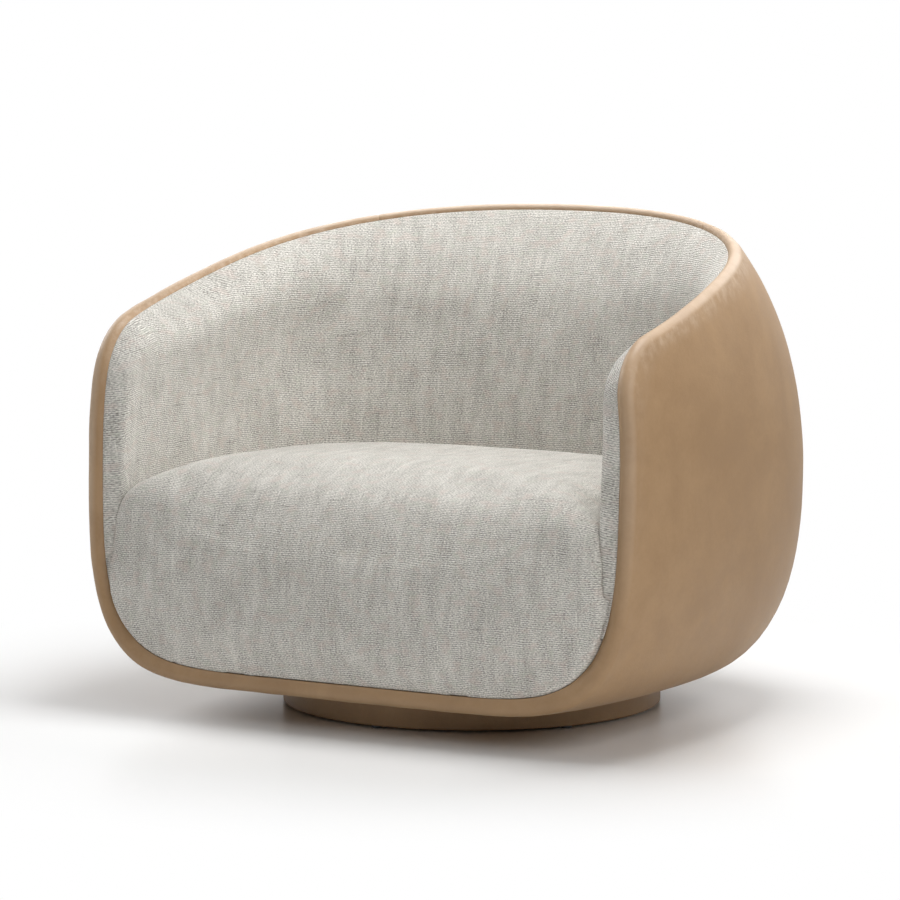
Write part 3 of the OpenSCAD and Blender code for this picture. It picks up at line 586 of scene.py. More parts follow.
def leather_material(name, light, dark, grain, wear_and_highlight=False):
    finish, g, shader = material(name)
    at = g.add("ShaderNodeTexCoord").outputs["Object"]
    leather = use(g, LEATHER, Vector=at, Light=light, Dark=dark, Grain=grain)
    # Pale rim tone for wear and a painted highlight
    if wear_and_highlight:
        g.feed(leather.inputs["Wear and highlight"], rim_wear_and_highlight(g, at))
    g.feed(shader.inputs["Base Color"], leather.outputs["Color"])
    g.feed(shader.inputs["Roughness"], leather.outputs["Roughness"])
    shader.inputs["Specular IOR Level"].default_value = 0.42
    shader.inputs["Coat Weight"].default_value = 0.03
    shader.inputs["Coat Roughness"].default_value = 0.35
    bump(g, shader, leather.outputs["Height"], 0.0005, 0.55)
    return finish


def fabric_material(name, light, dark, pitch):
    finish, g, shader = material(name)
    uv = g.add("ShaderNodeUVMap", {"uv_map": "cloth"}).outputs[0]
    linen = use(g, LINEN, Vector=uv, Rib_pitch=pitch, Light_yarn=light, Dark_yarn=dark)
    g.feed(shader.inputs["Base Color"], linen.outputs["Color"])
    shader.inputs["Roughness"].default_value = 0.92
    shader.inputs["Specular IOR Level"].default_value = 0.25
    shader.inputs["Sheen Weight"].default_value = 0.25
    shader.inputs["Sheen Roughness"].default_value = 0.5
    shader.inputs["Sheen Tint"].default_value = (0.95, 0.93, 0.9, 1)
    bump(g, shader, linen.outputs["Height"], 0.0007, 0.6)
    return finish


def tone_material(name, light, dark, scale, rough, metallic=0.0, distance=0.0002, stretch=(1, 1, 1)):
    finish, g, shader = material(name)
    at = g.stretched(g.add("ShaderNodeTexCoord").outputs["Object"], *stretch)
    low, high = rough
    tone = use(g, TONE, Vector=at, Scale=scale, Light=light, Dark=dark, Rough_low=low, Rough_high=high)
    g.feed(shader.inputs["Base Color"], tone.outputs["Color"])
    g.feed(shader.inputs["Roughness"], tone.outputs["Roughness"])
    shader.inputs["Metallic"].default_value = metallic
    bump(g, shader, tone.outputs["Height"], distance, 0.5)
    return finish


def plywood_material():
    finish, g, shader = material("sanded birch plywood")
    at = g.add("ShaderNodeTexCoord").outputs["Object"]
    grain = g.noise(g.stretched(at, 9, 90, 9), 1.0, 5, 0.6, 0.8)
    plies = g.add("ShaderNodeTexWave", {"wave_type": "BANDS", "bands_direction": "Z"},
                  Vector=at, Scale=110.0, Distortion=0.6, Detail=1.0).outputs["Fac"]
    color = g.mix_color(g.ramp(grain, 0.3, 0.7), (0.50, 0.34, 0.19, 1), (0.72, 0.55, 0.36, 1))
    color = g.mix_color(g.math("MULTIPLY", plies, 0.3), color, (0.36, 0.23, 0.13, 1))
    g.feed(shader.inputs["Base Color"], color)
    g.feed(shader.inputs["Roughness"], g.math("ADD", g.math("MULTIPLY", grain, 0.2), 0.5))
    bump(g, shader, grain, 0.0004, 0.5)
    return finish


# The shell's leather gets the rim's wear and painted highlight
shell_leather = leather_material("camel leather", LEATHER_LIGHT, LEATHER_DARK, 0.5, wear_and_highlight=True)
plinth_leather = leather_material("camel leather, pebbled", LEATHER_LIGHT, LEATHER_DARK, 1.6)
pad_fabric = fabric_material("linen weave, lining", FABRIC_LIGHT, FABRIC_DARK, RIB_PITCH)
seat_fabric = fabric_material("linen weave, seat", FABRIC_LIGHT, FABRIC_DARK, RIB_PITCH)
felt = tone_material("needled felt", (0.36, 0.34, 0.32, 1), (0.24, 0.225, 0.21, 1), 160, (0.85, 1.0),
                     0, 0.001)
FINISHES = {
    "shell_leather": shell_leather,
    "plinth_leather": plinth_leather,
    "pad_fabric": pad_fabric,
    "seat_fabric": seat_fabric,
    "felt": felt,
    "plywood": plywood_material(),
    "shell_plastic": tone_material("moulded shell, matt", (0.44, 0.44, 0.42, 1), (0.36, 0.36, 0.34, 1),
                                   25, (0.6, 0.8)),
    "plate_zinc": tone_material("bright zinc plate", (0.78, 0.79, 0.80, 1), (0.60, 0.61, 0.62, 1),
                                40, (0.22, 0.42), 1.0),
    "screw_steel": tone_material("dark zinc plate", (0.36, 0.36, 0.37, 1), (0.24, 0.24, 0.25, 1),
                                 90, (0.3, 0.5), 1.0),
    "rivet_steel": tone_material("turned steel", (0.58, 0.58, 0.57, 1), (0.46, 0.46, 0.45, 1),
                                 60, (0.25, 0.45), 1.0, 0.0002, (1, 1, 6)),
    "spring_steel": tone_material("drawn spring wire", (0.52, 0.52, 0.54, 1), (0.38, 0.38, 0.40, 1),
                                  80, (0.3, 0.5), 1.0),
    "clip_steel": tone_material("black coated steel", (0.05, 0.05, 0.052, 1), (0.03, 0.03, 0.032, 1),
                                80, (0.35, 0.55)),
    "cage_plastic": tone_material("natural nylon", (0.80, 0.76, 0.62, 1), (0.72, 0.67, 0.52, 1),
                                  60, (0.4, 0.6)),
    "ball_steel": tone_material("polished steel", (0.84, 0.84, 0.85, 1), (0.76, 0.76, 0.78, 1),
                                120, (0.05, 0.12), 1.0, 0.00005),
    "glide_plastic": tone_material("black glide plastic", (0.018, 0.018, 0.018, 1), (0.010, 0.010, 0.010, 1),
                                   90, (0.3, 0.5)),
}
for part in frame["record"]["subparts"]:
    mesh = frame["nodes"][part["node"]].data
    mesh.materials.clear()
    mesh.materials.append(FINISHES[part["material_slot"]])


# Leather shell
LEATHER_T = 0.0024
WALL_V = np.linspace(0, 1, 62) ** 1.25

# Rim: its outer roll, its flatter inner roll, the rows of the turned-in hem, and how flat it is at the lip
ROLL_OUT, ROLL_IN, ROLL_DROP = 0.010, 0.015, 0.008
OUTER_TURNS = (15, 30, 45, 60, 75, 90)
INNER_SHARES = (0.12, 0.25, 0.4, 0.55, 0.7, 0.83, 0.93, 1.0)
HEM_DROPS = (0.0105, 0.014, 0.022, 0.031, HEM_W + 0.0125)
LIP_FLATNESS, FLAT_DROP = 0.4, 0.012

# Edge turned under at the ring, as distance inside it and height
TURNED_UNDER = ((0.0042, 0.0505), (0.0022, 0.0496), (0.0006, 0.0500))

# A seam is a sunk line in a wide shallow dip, each by depth and half width
SEAM_LINE, SEAM_DIP = (0.0007, 0.0013), (0.0003, 0.007)

# Lumps of the leather everywhere and more by the rim, how far down they reach, and where the crest ends
LUMPS, RIM_LUMPS, RIM_LUMPS_REACH, CREST_END = 0.00025, 0.0005, 0.11, -0.012


def seam_sink(gap, line, dip):
    """How deep a seam draws the leather in at a distance from it."""
    return sum(depth * np.exp(-((gap / half) ** 2)) for depth, half in (line, dip))


def rim_rows():
    """Drop from the opening and depth in the wall of each row of the leather over the rim."""
    turns = [math.radians(d) for d in OUTER_TURNS]
    rows = [(ROLL_OUT * (1 - math.sin(t)), ROLL_OUT * (1 - math.cos(t))) for t in turns]
    rows += [(ROLL_DROP * x**1.9, RIM_T - ROLL_IN * (1 - x)) for x in INNER_SHARES]
    return rows + [(drop, RIM_T) for drop in HEM_DROPS]


def leather_relief(co, uv, seam_ends):
    """How far each point stands out: soft lumps, stronger by the rim, less the sunk seams."""
    sink = np.zeros(len(co))
    for end in seam_ends:
        sink = np.maximum(sink, seam_sink(np.abs(uv[:, 0] - end), SEAM_LINE, SEAM_DIP))
    lumps = np.array([noise.noise(Vector(c) * 17.0) + 0.5 * noise.noise(Vector(c) * 41.0) for c in co])
    near = np.exp(-((np.maximum(uv[:, 1], 0) / RIM_LUMPS_REACH) ** 2)) * (uv[:, 1] > CREST_END)
    return lumps * (LUMPS + RIM_LUMPS * near) - sink


def leather_strip(name, s, mirrored, along, seam_ends):
    """Leather laid over the shell for the stations s; mirrored is -1 on the left side."""
    wall = shell_path(s, ROLL_OUT, 0.0, WALL_V)[:, ::-1]
    flat_lip = mix(1, LIP_FLATNESS, np.clip((LIP - s) / 2, 0, 1))
    rim = np.stack([rim_point(s, drop * (flat_lip if depth > ROLL_OUT and drop < FLAT_DROP else 1), depth)
                    for drop, depth in rim_rows()], 1)
    ring = wall[:, :1] * np.array([1, 1, 0]) / RING_R
    under = np.concatenate([ring * (RING_R - inside) + [0, 0, z] for inside, z in TURNED_UNDER], 1)
    sheet = np.concatenate([under, wall, rim], 1)
    sheet[..., 0] *= mirrored[:, None]
    step = np.linalg.norm(np.diff(sheet, axis=1), axis=2)
    down = np.concatenate([np.zeros((len(s), 1)), np.cumsum(step, 1)], 1)
    edge = under.shape[1] + wall.shape[1] - 1
    down = down[:, edge : edge + 1] - down
    ob = draped_grid(name, sheet, np.stack([np.repeat(along[:, None], sheet.shape[1], 1), down], -1))
    ob.data.uv_layers[0].name = "skin"
    smooth(ob)
    no, co = normals(ob), coords(ob)
    if np.mean(np.sum(no * (co - [0, 0, 0.35]), 1)) < 0:
        in_edit(ob, lambda: bpy.ops.mesh.flip_normals())
        no = normals(ob)
    put_coords(ob, co + no * leather_relief(co, vertex_uv(ob), seam_ends)[:, None])
    solidify(ob, LEATHER_T)
    outward(ob)
    smooth(ob, 50)
    return ob


SEAM_CLOSE = (-0.0008, -0.0018, -0.0032, -0.0052, -0.0085, -0.013)
half_s, half_len = even_stations(0, SEAM, 150, SEAM_CLOSE)
wrap_s = np.concatenate([half_s[::-1], half_s[1:]])
wrap_sign = np.concatenate([-np.ones(len(half_s)), np.ones(len(half_s) - 1)])
wrap_len = np.concatenate([-half_len[::-1], half_len[1:]])
leather_wrap = leather_strip("shell_leather_wrap", wrap_s, wrap_sign, wrap_len, (-half_len[-1], half_len[-1]))
finish_piece(leather_wrap, "chair", shell_leather, "shell_leather", "leather_wrap")

back_s, back_len = even_stations(SEAM, RIM, 44, [-c for c in SEAM_CLOSE])
panel_s = np.concatenate([back_s, back_s[-2::-1]])
panel_sign = np.concatenate([np.ones(len(back_s)), -np.ones(len(back_s) - 1)])
panel_len = np.concatenate([back_len, 2 * back_len[-1] - back_len[-2::-1]]) + half_len[-1]
leather_back = leather_strip("shell_leather_back_panel", panel_s, panel_sign, panel_len,
                             (panel_len[0], panel_len[-1]))
finish_piece(leather_back, "chair", shell_leather, "shell_leather", "leather_back_panel")


# Soft pieces
CLOTH_FRAMES, SEAT_VOXEL, FELT_VOXEL, SOFT_GAP = 20, 0.007, 0.004, 0.0006


def closed_loft(name, sections, uv=None):
    """Closed form through sections[i, k] (rings k), its two ends filled."""
    if uv is not None:
        uv = np.concatenate([uv, uv[:, :1]], 1)
    ob = draped_grid(name, np.concatenate([sections, sections[:, :1]], 1), uv)
    in_edit(ob, lambda: bpy.ops.mesh.remove_doubles(threshold=1e-5),
            lambda: bpy.ops.mesh.select_all(action="DESELECT"),
            lambda: bpy.ops.mesh.select_mode(type="EDGE"),
            lambda: bpy.ops.mesh.select_non_manifold(extend=False),
            lambda: bpy.ops.mesh.fill_holes(sides=0),
            lambda: bpy.ops.mesh.select_all(action="SELECT"),
            lambda: bpy.ops.mesh.select_mode(type="VERT"),
            lambda: bpy.ops.mesh.normals_make_consistent(inside=False))
    return ob


def remesh(ob, voxel):
    modifier = ob.modifiers.new("even mesh", "REMESH")
    modifier.mode, modifier.voxel_size, modifier.use_smooth_shade = "VOXEL", voxel, True
    apply_all(ob)


def relax(ob, factor, times):
    modifier = ob.modifiers.new("relax", "SMOOTH")
    modifier.factor, modifier.iterations = factor, times
    apply_all(ob)


def spread(ob, values, times):
    """Evens a value per point out over the mesh."""
    ends = np.zeros(len(ob.data.edges) * 2, int)
    ob.data.edges.foreach_get("vertices", ends)
    a, b = ends[0::2], ends[1::2]
    count = np.maximum(np.bincount(ends, minlength=len(values)), 1)
    for _ in range(times):
        near = np.bincount(a, values[b], len(values)) + np.bincount(b, values[a], len(values))
        values = 0.5 * values + 0.5 * near / count
    return values


def inflate(ob, pressure, cap, shrink, keep, even):
    """Draws a closed pad in by shrink, then swells it with cloth pressure, by cap at most along its normals.

    keep gives how free each point is, from 0 (held) to 1, and even is how often the swell is evened out.
    """
    hold = keep(coords(ob))
    base = coords(ob) - normals(ob) * (shrink * hold)[:, None]
    put_coords(ob, base)
    no = normals(ob)
    cloth = ob.modifiers.new("cloth", "CLOTH").settings
    cloth.quality = 3
    cloth.mass = 0.3
    cloth.use_pressure = True
    cloth.uniform_pressure_force = pressure
    cloth.tension_stiffness = cloth.compression_stiffness = 15
    cloth.shear_stiffness = 8
    cloth.bending_stiffness = 4
    cloth.effector_weights.gravity = 0
    scene.frame_start, scene.frame_end = 1, CLOTH_FRAMES
    for number in range(1, CLOTH_FRAMES + 1):
        scene.frame_set(number)
    apply_all(ob)
    scene.frame_set(1)
    rise = np.sum((coords(ob) - base) * no, 1)
    rise = spread(ob, cap * np.tanh(np.maximum(rise, -0.001) / cap), even)
    put_coords(ob, base + no * (rise * hold)[:, None])


def bvh(points, faces):
    return BVHTree.FromPolygons([tuple(p) for p in points], faces)


def mesh_tree(ob):
    ob.data.calc_loop_triangles()
    return bvh([v.co[:] for v in ob.data.vertices], [t.vertices[:] for t in ob.data.loop_triangles])


def egg_tree(inset):
    """The whole egg, drawn in by inset, as a surface that soft pieces stay inside."""
    a, u = np.meshgrid(np.linspace(-90, 90, 181), np.linspace(-1, 1.25, 120), indexing="ij")
    side = egg_turn(a, u, inset)
    whole = np.concatenate([side, (side * [-1, 1, 1])[::-1]], 0) + [0, AXIS_Y, 0]
    columns, rows = whole.shape[:2]
    first = [i * rows + k for i in range(columns - 1) for k in range(rows - 1)]
    return bvh(whole.reshape(-1, 3), [(c, c + rows, c + rows + 1, c + 1) for c in first])


def hold_inside(ob, trees, gap, centre, cling):
    """Draws points back to a neighbour's surface where they pass it.

    Points move on lines from a centre. cling gives how near to the surface a point is drawn out to it.
    """
    co = coords(ob)
    home = centre(co)
    near = cling(co)
    for k in range(len(co)):
        point, inner = Vector(co[k]), Vector(home[k])
        way = point - inner
        reach = way.length
        if reach < 0.05:
            continue
        way /= reach
        for tree in trees:
            hit = tree.ray_cast(inner, way, reach + gap + near[k])[3]
            if hit is not None and hit - gap < reach + near[k]:
                reach = hit - gap
                near[k] = 0
        co[k] = inner + way * reach
    put_coords(ob, co)


def subdivide_once(ob):
    modifier = ob.modifiers.new("fine mesh", "SUBSURF")
    modifier.levels = modifier.render_levels = 1
    apply_all(ob)


SHELL_INSIDE = egg_tree(RIM_T + SOFT_GAP)


# Padded lining of the arms and back. At four marks along the rim: how wide its roll is, how far below the
# opening the roll's knee lies, and how strongly the knee draws the curve.
PAD_START = LIP + 0.75
STATION_MARKS = (PAD_START, LIP + 0.7 * UPRIGHT, LIP + UPRIGHT + CORNER, RIM)
ROLL_WIDTHS = (PAD_ROLL, 0.052, 0.080, 0.150)
KNEE_DROPS = (0.006, 0.010, 0.034, 0.068)
KNEE_PULLS = (4.0, 3.6, 1.1, 0.9)

# Rows behind the leather's hem, as drop from the opening and depth in the wall, then the top of the roll
BEHIND_HEM = ((0.0125 + HEM_W + 0.002, RIM_T + 0.0008), (0.020, RIM_T + 0.0007), (0.012, RIM_T + 0.0007),
              (0.0090, RIM_T + 0.0004))
ROLL_TOP = (0.0070, 0.0236)


def roll_curve(v, top, knee, face, pull):
    """Point at share v of the curve that leaves the rim at top and ends flush with the inside face."""
    a, b, c = (1 - v) ** 2, 2 * v * (1 - v) * pull, v * v
    return (a * top + b * knee + c * face) / (a + b + c)


def pad_sections(count, roll_rows, face_rows):
    """Rings of the right half of the lining, and their cloth coordinates."""
    s, _ = even_stations(PAD_START, RIM, count)
    roll = np.interp(s, STATION_MARKS, ROLL_WIDTHS)
    a_face, z_face = rim_mark(s, roll, inner_face)
    face = inner_face(a_face, z_face)
    a_knee, z_knee = rim_mark(s, np.interp(s, STATION_MARKS, KNEE_DROPS), inner_face)
    top = rim_point(s, *ROLL_TOP)
    knee = inner_face(a_knee, z_knee)
    pull = np.interp(s, STATION_MARKS, KNEE_PULLS)[:, None]
    share = (s - PAD_START) / (RIM - PAD_START)
    low_a = mix(rim_low_angle(), 90, share)
    low_z = mix(PAD_LOW_Z, PAD_BACK_LOW_Z, np.minimum(1, 2.5 * share))
    at_face = np.stack([girth(a_face), z_face], -1)
    along = np.gradient(at_face, axis=0)
    out = np.stack([along[:, 1], -along[:, 0]], -1)
    out /= np.linalg.norm(out, axis=1, keepdims=True)
    rows, uv = [], []
    for v in np.linspace(0, 1, roll_rows, endpoint=False) ** 1.4:
        row = roll_curve(v, top, knee, face, pull)
        rows.append(row)
        uv.append(at_face + out * np.linalg.norm(row - face, axis=1, keepdims=True))
    line = []
    for v in np.linspace(0, 1, face_rows):
        a, z = mix(a_face, low_a, 1 - (1 - v) ** 1.5), mix(z_face, low_z, v)
        line.append((a, z))
        rows.append(inner_face(a, z))
        uv.append(np.stack([girth(a), z], -1))
    for a, z in line[:0:-1]:
        rows.append(pad_back(a, z))
        uv.append(np.stack([girth(a), z], -1))
    for off, inset in BEHIND_HEM:
        rows.append(rim_point(s, off, inset))
        uv.append(at_face + out * roll[:, None])
    return np.stack(rows, 1), np.stack(uv, 1)


def girth(a):
    """Length along the inside face at seat height, from the middle of the back."""
    fine = np.linspace(-90, 90, 721)
    line = inner_face(fine, SEAT_Z)
    step = np.concatenate([[0], np.cumsum(np.linalg.norm(np.diff(line, axis=0), axis=1))])
    return step[-1] - np.interp(a, fine, step)


def rim_low_angle():
    """Direction of the lining's low front end."""
    y = front_line_y(PAD_LOW_Z) + PAD_ROLL
    return float(root(lambda a: inner_face(a, PAD_LOW_Z)[..., 1] - y, -90.0, 90.0))


def pad_back(a, z):
    """Point of the lining's back, PAD_T behind its face or less where the shell is nearer."""
    here = inner_face(a, z)
    tangent = inner_face(a + 0.5, z) - here
    normal = np.stack([tangent[:, 1], -tangent[:, 0], 0 * a], -1)
    normal = normal / np.linalg.norm(normal, axis=1, keepdims=True)
    normal = np.where((a >= 90)[:, None], [0.0, 1.0, 0.0], normal)
    behind = here + PAD_T * normal
    flat = behind[:, :2] + [0, EGG_FORWARD]
    way = np.degrees(np.arctan2(flat[:, 1], flat[:, 0]))

    def limit(h):
        return egg(h, z, RIM_T + 0.004)

    def bearing(h):
        edge = limit(h)
        return np.degrees(np.arctan2(edge[:, 1] + EGG_FORWARD, edge[:, 0])) - way

    edge = limit(root(bearing, np.full(a.shape, -90.0), np.full(a.shape, 90.0)))
    inside = np.linalg.norm(flat, axis=1) <= np.hypot(edge[:, 0], edge[:, 1] + EGG_FORWARD)
    return np.where(inside[:, None], behind, edge)


right, right_uv = pad_sections(count=118, roll_rows=11, face_rows=28)
pad_rings = np.concatenate([right, right[-2::-1] * [-1, 1, 1]])
pad_cloth = np.concatenate([right_uv, right_uv[-2::-1] * [-1, 1]])


def rounded_ends(rings, shares, forward):
    """Closes a row of rings softly: each end gets smaller copies of its last ring, moved on by forward."""
    out = [rings]
    for end, first in ((rings[-1], False), (rings[0], True)):
        middle = end.mean(0)
        caps = [middle + (end - middle) * k + forward * (1 - k * k) for k in shares]
        out = [np.stack(caps[::-1])] + out if first else out + [np.stack(caps)]
    return np.concatenate(out)


END_SHARES = (0.9, 0.65, 0.35, 0.1)
inside_pad = closed_loft("inside_pad_linen", rounded_ends(pad_rings, END_SHARES, np.array([0, -0.002, 0])),
                         rounded_ends(pad_cloth, END_SHARES, np.zeros(2)))


# Where the lining is held: near the opening, low down, and outside this reach of its inside face
OPENING_FADE, FRONT_HOLD, LOW_HOLD_Z, LOW_FADE = 0.07, 0.03, 0.26, 0.08
FACE_DEPTH, FACE_HOLD, FACE_FADE = 0.30, 1.10, 0.10


def pad_keep(co):
    """Free on the inside face, held where the pad lies against the shell, at the rim and at its low edge."""
    z_rim = top_line_z(co[:, 1] - AXIS_Y)
    from_top = np.clip((z_rim - co[:, 2]) / OPENING_FADE, 0, 1)
    from_front = np.clip((co[:, 1] - AXIS_Y - front_line_y(co[:, 2]) - FRONT_HOLD) / OPENING_FADE, 0, 1)
    from_low = np.clip((co[:, 2] - LOW_HOLD_Z) / LOW_FADE, 0, 1)
    place = co - [0, AXIS_Y, 0]
    radial = np.hypot(place[:, 0] / INNER_W, (place[:, 1] + INNER_Y) / FACE_DEPTH)
    face = np.clip((FACE_HOLD - radial) / FACE_FADE, 0, 1)
    return from_top * from_front * from_low * face


inflate(inside_pad, pressure=4.0, cap=0.006, shrink=0.0, keep=pad_keep, even=12)
subdivide_once(inside_pad)
smooth(inside_pad)
finish_piece(inside_pad, "chair", pad_fabric, "pad_fabric", "inside_pad")


# Seat cushion
def seat_half_width(y):
    """Half of the room between the two sides of the lining at depth y."""
    a = root(lambda h: inner_face(h, SEAT_Z)[..., 1] - y, -90.0, 90.0)
    return float(inner_face(a, SEAT_Z)[..., 0])


def seat_top(y):
    return SEAT_Z - SEAT_FALL * (y + SEAT_FRONT_Y) / (INNER_BACK_Y + SEAT_FRONT_Y)


LOW_COUNT, LOW_R, TOP_R, SIDE_R = 30, 0.0105, 0.104, 0.048
FRONT_W, FRONT_WIDE_Z, FRONT_SQUARE = 0.4300, 0.200, 5.6
CORE_W, CORE_Z = 0.27, 0.20
ROUND_FROM_Z, FLAT_W = 0.175, 0.36
low_s = np.linspace(0, LIP + 1.1, LOW_COUNT + 1)
low_drop = mix(0.0060, 0.0120, np.clip((low_s - LIP + 2) / 2, 0, 1))
rim_low = rim_point(low_s, low_drop, RIM_T + 0.0008)[:, [0, 2]]
UPPER = np.concatenate([np.linspace(4, 38, 15), np.linspace(40, 58, 12), np.linspace(61, 90, 10)])

# Where the sections stand: as shares of the front face, as depths behind it, and as shares of the deck
FACE_SHARES = (0.03, 0.15, 0.3, 0.45, 0.6, 0.75, 0.88, 0.96)
FRONT_DEPTHS = (0, 0.0008, 0.0022, 0.0045, 0.0075, 0.011, 0.016, 0.022, 0.029, 0.037, 0.046, 0.054)
DECK_SHARES = (0, 0.025, 0.055, 0.09, 0.13, 0.19, 0.26, 0.34, 0.42, 0.5, 0.58, 0.65, 0.72, 0.78, 0.83, 0.88,
               0.915, 0.945, 0.967, 0.985)


def upper_half(w, top, square, mid):
    """Right half of a section from its widest place, at height mid, up over the crown."""
    px, py = squared(UPPER, square)
    px[-1] = 0
    return np.stack([w * px, mid + (top - mid) * py], -1)


def front_half(w, top):
    """Right half of a section in the front: along the leather's rim below, a squared curve above."""
    low = np.stack([np.minimum(rim_low[:, 0], w), rim_low[:, 1]], -1)
    return np.concatenate([low, upper_half(w, top, FRONT_SQUARE, FRONT_WIDE_Z)])


def drawn_in(half, q):
    """Section at depth q behind the foremost face: a tight roll along the leather, a wide one on top."""
    core = np.stack([np.clip(half[:, 0], 0, CORE_W), np.full(len(half), CORE_Z)], -1)
    way = core - half
    away = np.linalg.norm(way, axis=1)
    rise = np.clip((half[:, 1] - ROUND_FROM_Z) / (SEAT_Z - ROUND_FROM_Z), 0, 1)
    flat = np.clip(1 - (half[:, 0] / FLAT_W) ** 4, 0, 1)
    radius = mix(LOW_R, mix(SIDE_R, TOP_R, flat), rise ** 0.8 * (3 - 2 * rise ** 0.8) * rise ** 0.2)
    left = np.clip(1 - q / radius, 0, 1)
    inset = radius * (1 - (1 - left**2.1) ** (1 / 2.1))
    return half + way / away[:, None] * np.minimum(inset, away * 0.8)[:, None]


def deck_half(w, top, square=5.4):
    """Right half of a section behind the front, with a flat underside on the deck."""
    i = np.arange(LOW_COUNT + 1)
    px, py = squared(90 * (1 - i / (LOW_COUNT + 0.4)), 8)
    px[0] = 0
    mid = SEAT_MID_Z + DECK_CORNER
    low = np.stack([w * px, mid - (mid - DECK_TOP_Z) * py], -1)
    return np.concatenate([low, upper_half(w, top, square, SEAT_MID_Z)])


def seat_halves():
    """Right halves of the seat's sections, each with its depth and its share of the inside back's lean."""
    out = []
    face = drawn_in(front_half(FRONT_W, SEAT_Z), 0.0)
    for k in FACE_SHARES:
        half = np.stack([face[:, 0] * k, mix(0.19, face[:, 1], k)], -1)
        out.append((-SEAT_FRONT_Y - 0.003 * (1 - k**2), 0, half))
    for q in FRONT_DEPTHS:
        w = mix(FRONT_W, INNER_W + 0.012, max(0, q - 0.011) / 0.043)
        out.append((-SEAT_FRONT_Y + q, 0, drawn_in(front_half(w, SEAT_Z), q)))
    back = -SEAT_FRONT_Y + APRON_T
    out.append((back, 0, drawn_in(front_half(seat_half_width(back) + 0.002, SEAT_Z), APRON_T)))
    for v in DECK_SHARES:
        y = mix(back + 0.0006, INNER_BACK_Y - 0.006, v)
        half = deck_half(seat_half_width(y), SEAT_Z - 0.012 * v**8 - SEAT_FALL * v**1.5)
        under, over = half[: LOW_COUNT + 1], half[LOW_COUNT + 1 :]
        out.append((y, v, np.concatenate([under, drawn_in(over, y + SEAT_FRONT_Y)])))
    y = INNER_BACK_Y - 0.005
    return out + [(y, 1, deck_half(0.060, seat_top(y) - 0.024, 4))]


def seat_sections():
    """Whole rings of the seat, leaned back toward the inside back."""
    rings = []
    for y, lean, half in seat_halves():
        ring = np.stack([half[:, 0], y + lean * tan(RECLINE) * (half[:, 1] - SEAT_Z), half[:, 1]], -1)
        rings.append(np.concatenate([ring[-1:], (ring * [-1, 1, 1])[-2:0:-1], ring[:-1]]))
    return np.stack(rings)


seat = closed_loft("seat_cushion_linen", seat_sections())
remesh(seat, SEAT_VOXEL)


def seat_centre(co):
    """Points inside the seat from which its points are measured outward."""
    return np.stack([0 * co[:, 0], np.clip(co[:, 1], -0.30, 0.08), 0 * co[:, 0] + 0.30], -1)


def seat_keep(co):
    """Held along the underside and close to the leather, free on the front and the crown."""
    deck = np.where(co[:, 1] > -0.32, np.clip((co[:, 2] - 0.27) / 0.05, 0, 1), 1)
    share = []
    for point, inner in zip(co, seat_centre(co)):
        way = Vector(point - inner)
        hit = SHELL_INSIDE.ray_cast(Vector(inner), way.normalized(), 1.0)[3]
        share.append(1 - way.length / hit if hit else 1)
    return np.minimum(deck, np.clip(np.array(share) / 0.20, 0, 1) ** 1.4)


inflate(seat, pressure=4.0, cap=0.022, shrink=0.009, keep=seat_keep, even=40)
relax(seat, 0.4, 2)
subdivide_once(seat)


def seat_cling(co):
    """How near to the leather a point is laid on it: only low down, behind the line of the front cut."""
    y = co[:, 1] - AXIS_Y
    behind = np.clip((y - front_line_y(co[:, 2]) - 0.0030) / 0.002, 0, 1)
    return 0.011 * behind * (y < -0.33) * (co[:, 2] < 0.24)


hold_inside(seat, [SHELL_INSIDE, mesh_tree(inside_pad)], SOFT_GAP, seat_centre, seat_cling)


def seat_uv(co):
    """U runs across the seat; V runs up the front, over the roll and back along the top."""
    y, z = co[:, 1] - AXIS_Y, co[:, 2]
    y_roll, z_roll = -SEAT_FRONT_Y + TOP_R, SEAT_Z - TOP_R
    turn = TOP_R * np.arctan2(np.maximum(z - z_roll, 0), np.maximum(y_roll - y, 1e-6))
    top = TOP_R * math.pi / 2 + y - y_roll
    v = np.where(z < z_roll, z - z_roll, np.where(y > y_roll, top, turn))
    return np.stack([co[:, 0], v + 0.0007], -1)


set_uv(seat, seat_uv(coords(seat)))
smooth(seat)
finish_piece(seat, "chair", seat_fabric, "seat_fabric", "seat_cushion")


# Felt deck under the seat
def felt_deck():
    lo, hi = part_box("deck_pad")
    src = frame["nodes"]["deck_pad"]
    ob = bpy.data.objects.new("seat_deck_felt", src.data.copy())
    scene.collection.objects.link(ob)
    outward(ob)
    remesh(ob, FELT_VOXEL)
    relax(ob, 0.5, 2)
    co = coords(ob)
    ripple = np.array([noise.noise(Vector(c) * 30.0) for c in co]) * 0.0004
    co[:, 2] += ripple
    co[:, 2] = np.clip(co[:, 2], lo.z, hi.z)
    put_coords(ob, co)
    smooth(ob)
    return ob


deck = felt_deck()
finish_piece(deck, "chair", felt, "felt", "deck_pad")


# Plinth leather band
PLINTH_R, PLINTH_TOP, GLIDE_H, BAND_T, BAND_LAP, BAND_SEAM = 0.293, 0.047, 0.004, 0.0022, 0.015, 90.0
LOW_ROUND, TOP_ROUND, BAND_LUMPS = 0.0012, 0.003, 0.00022
BAND_SEAM_LINE, BAND_SEAM_DIP = (0.0011, 0.0014), (0.0003, 0.006)


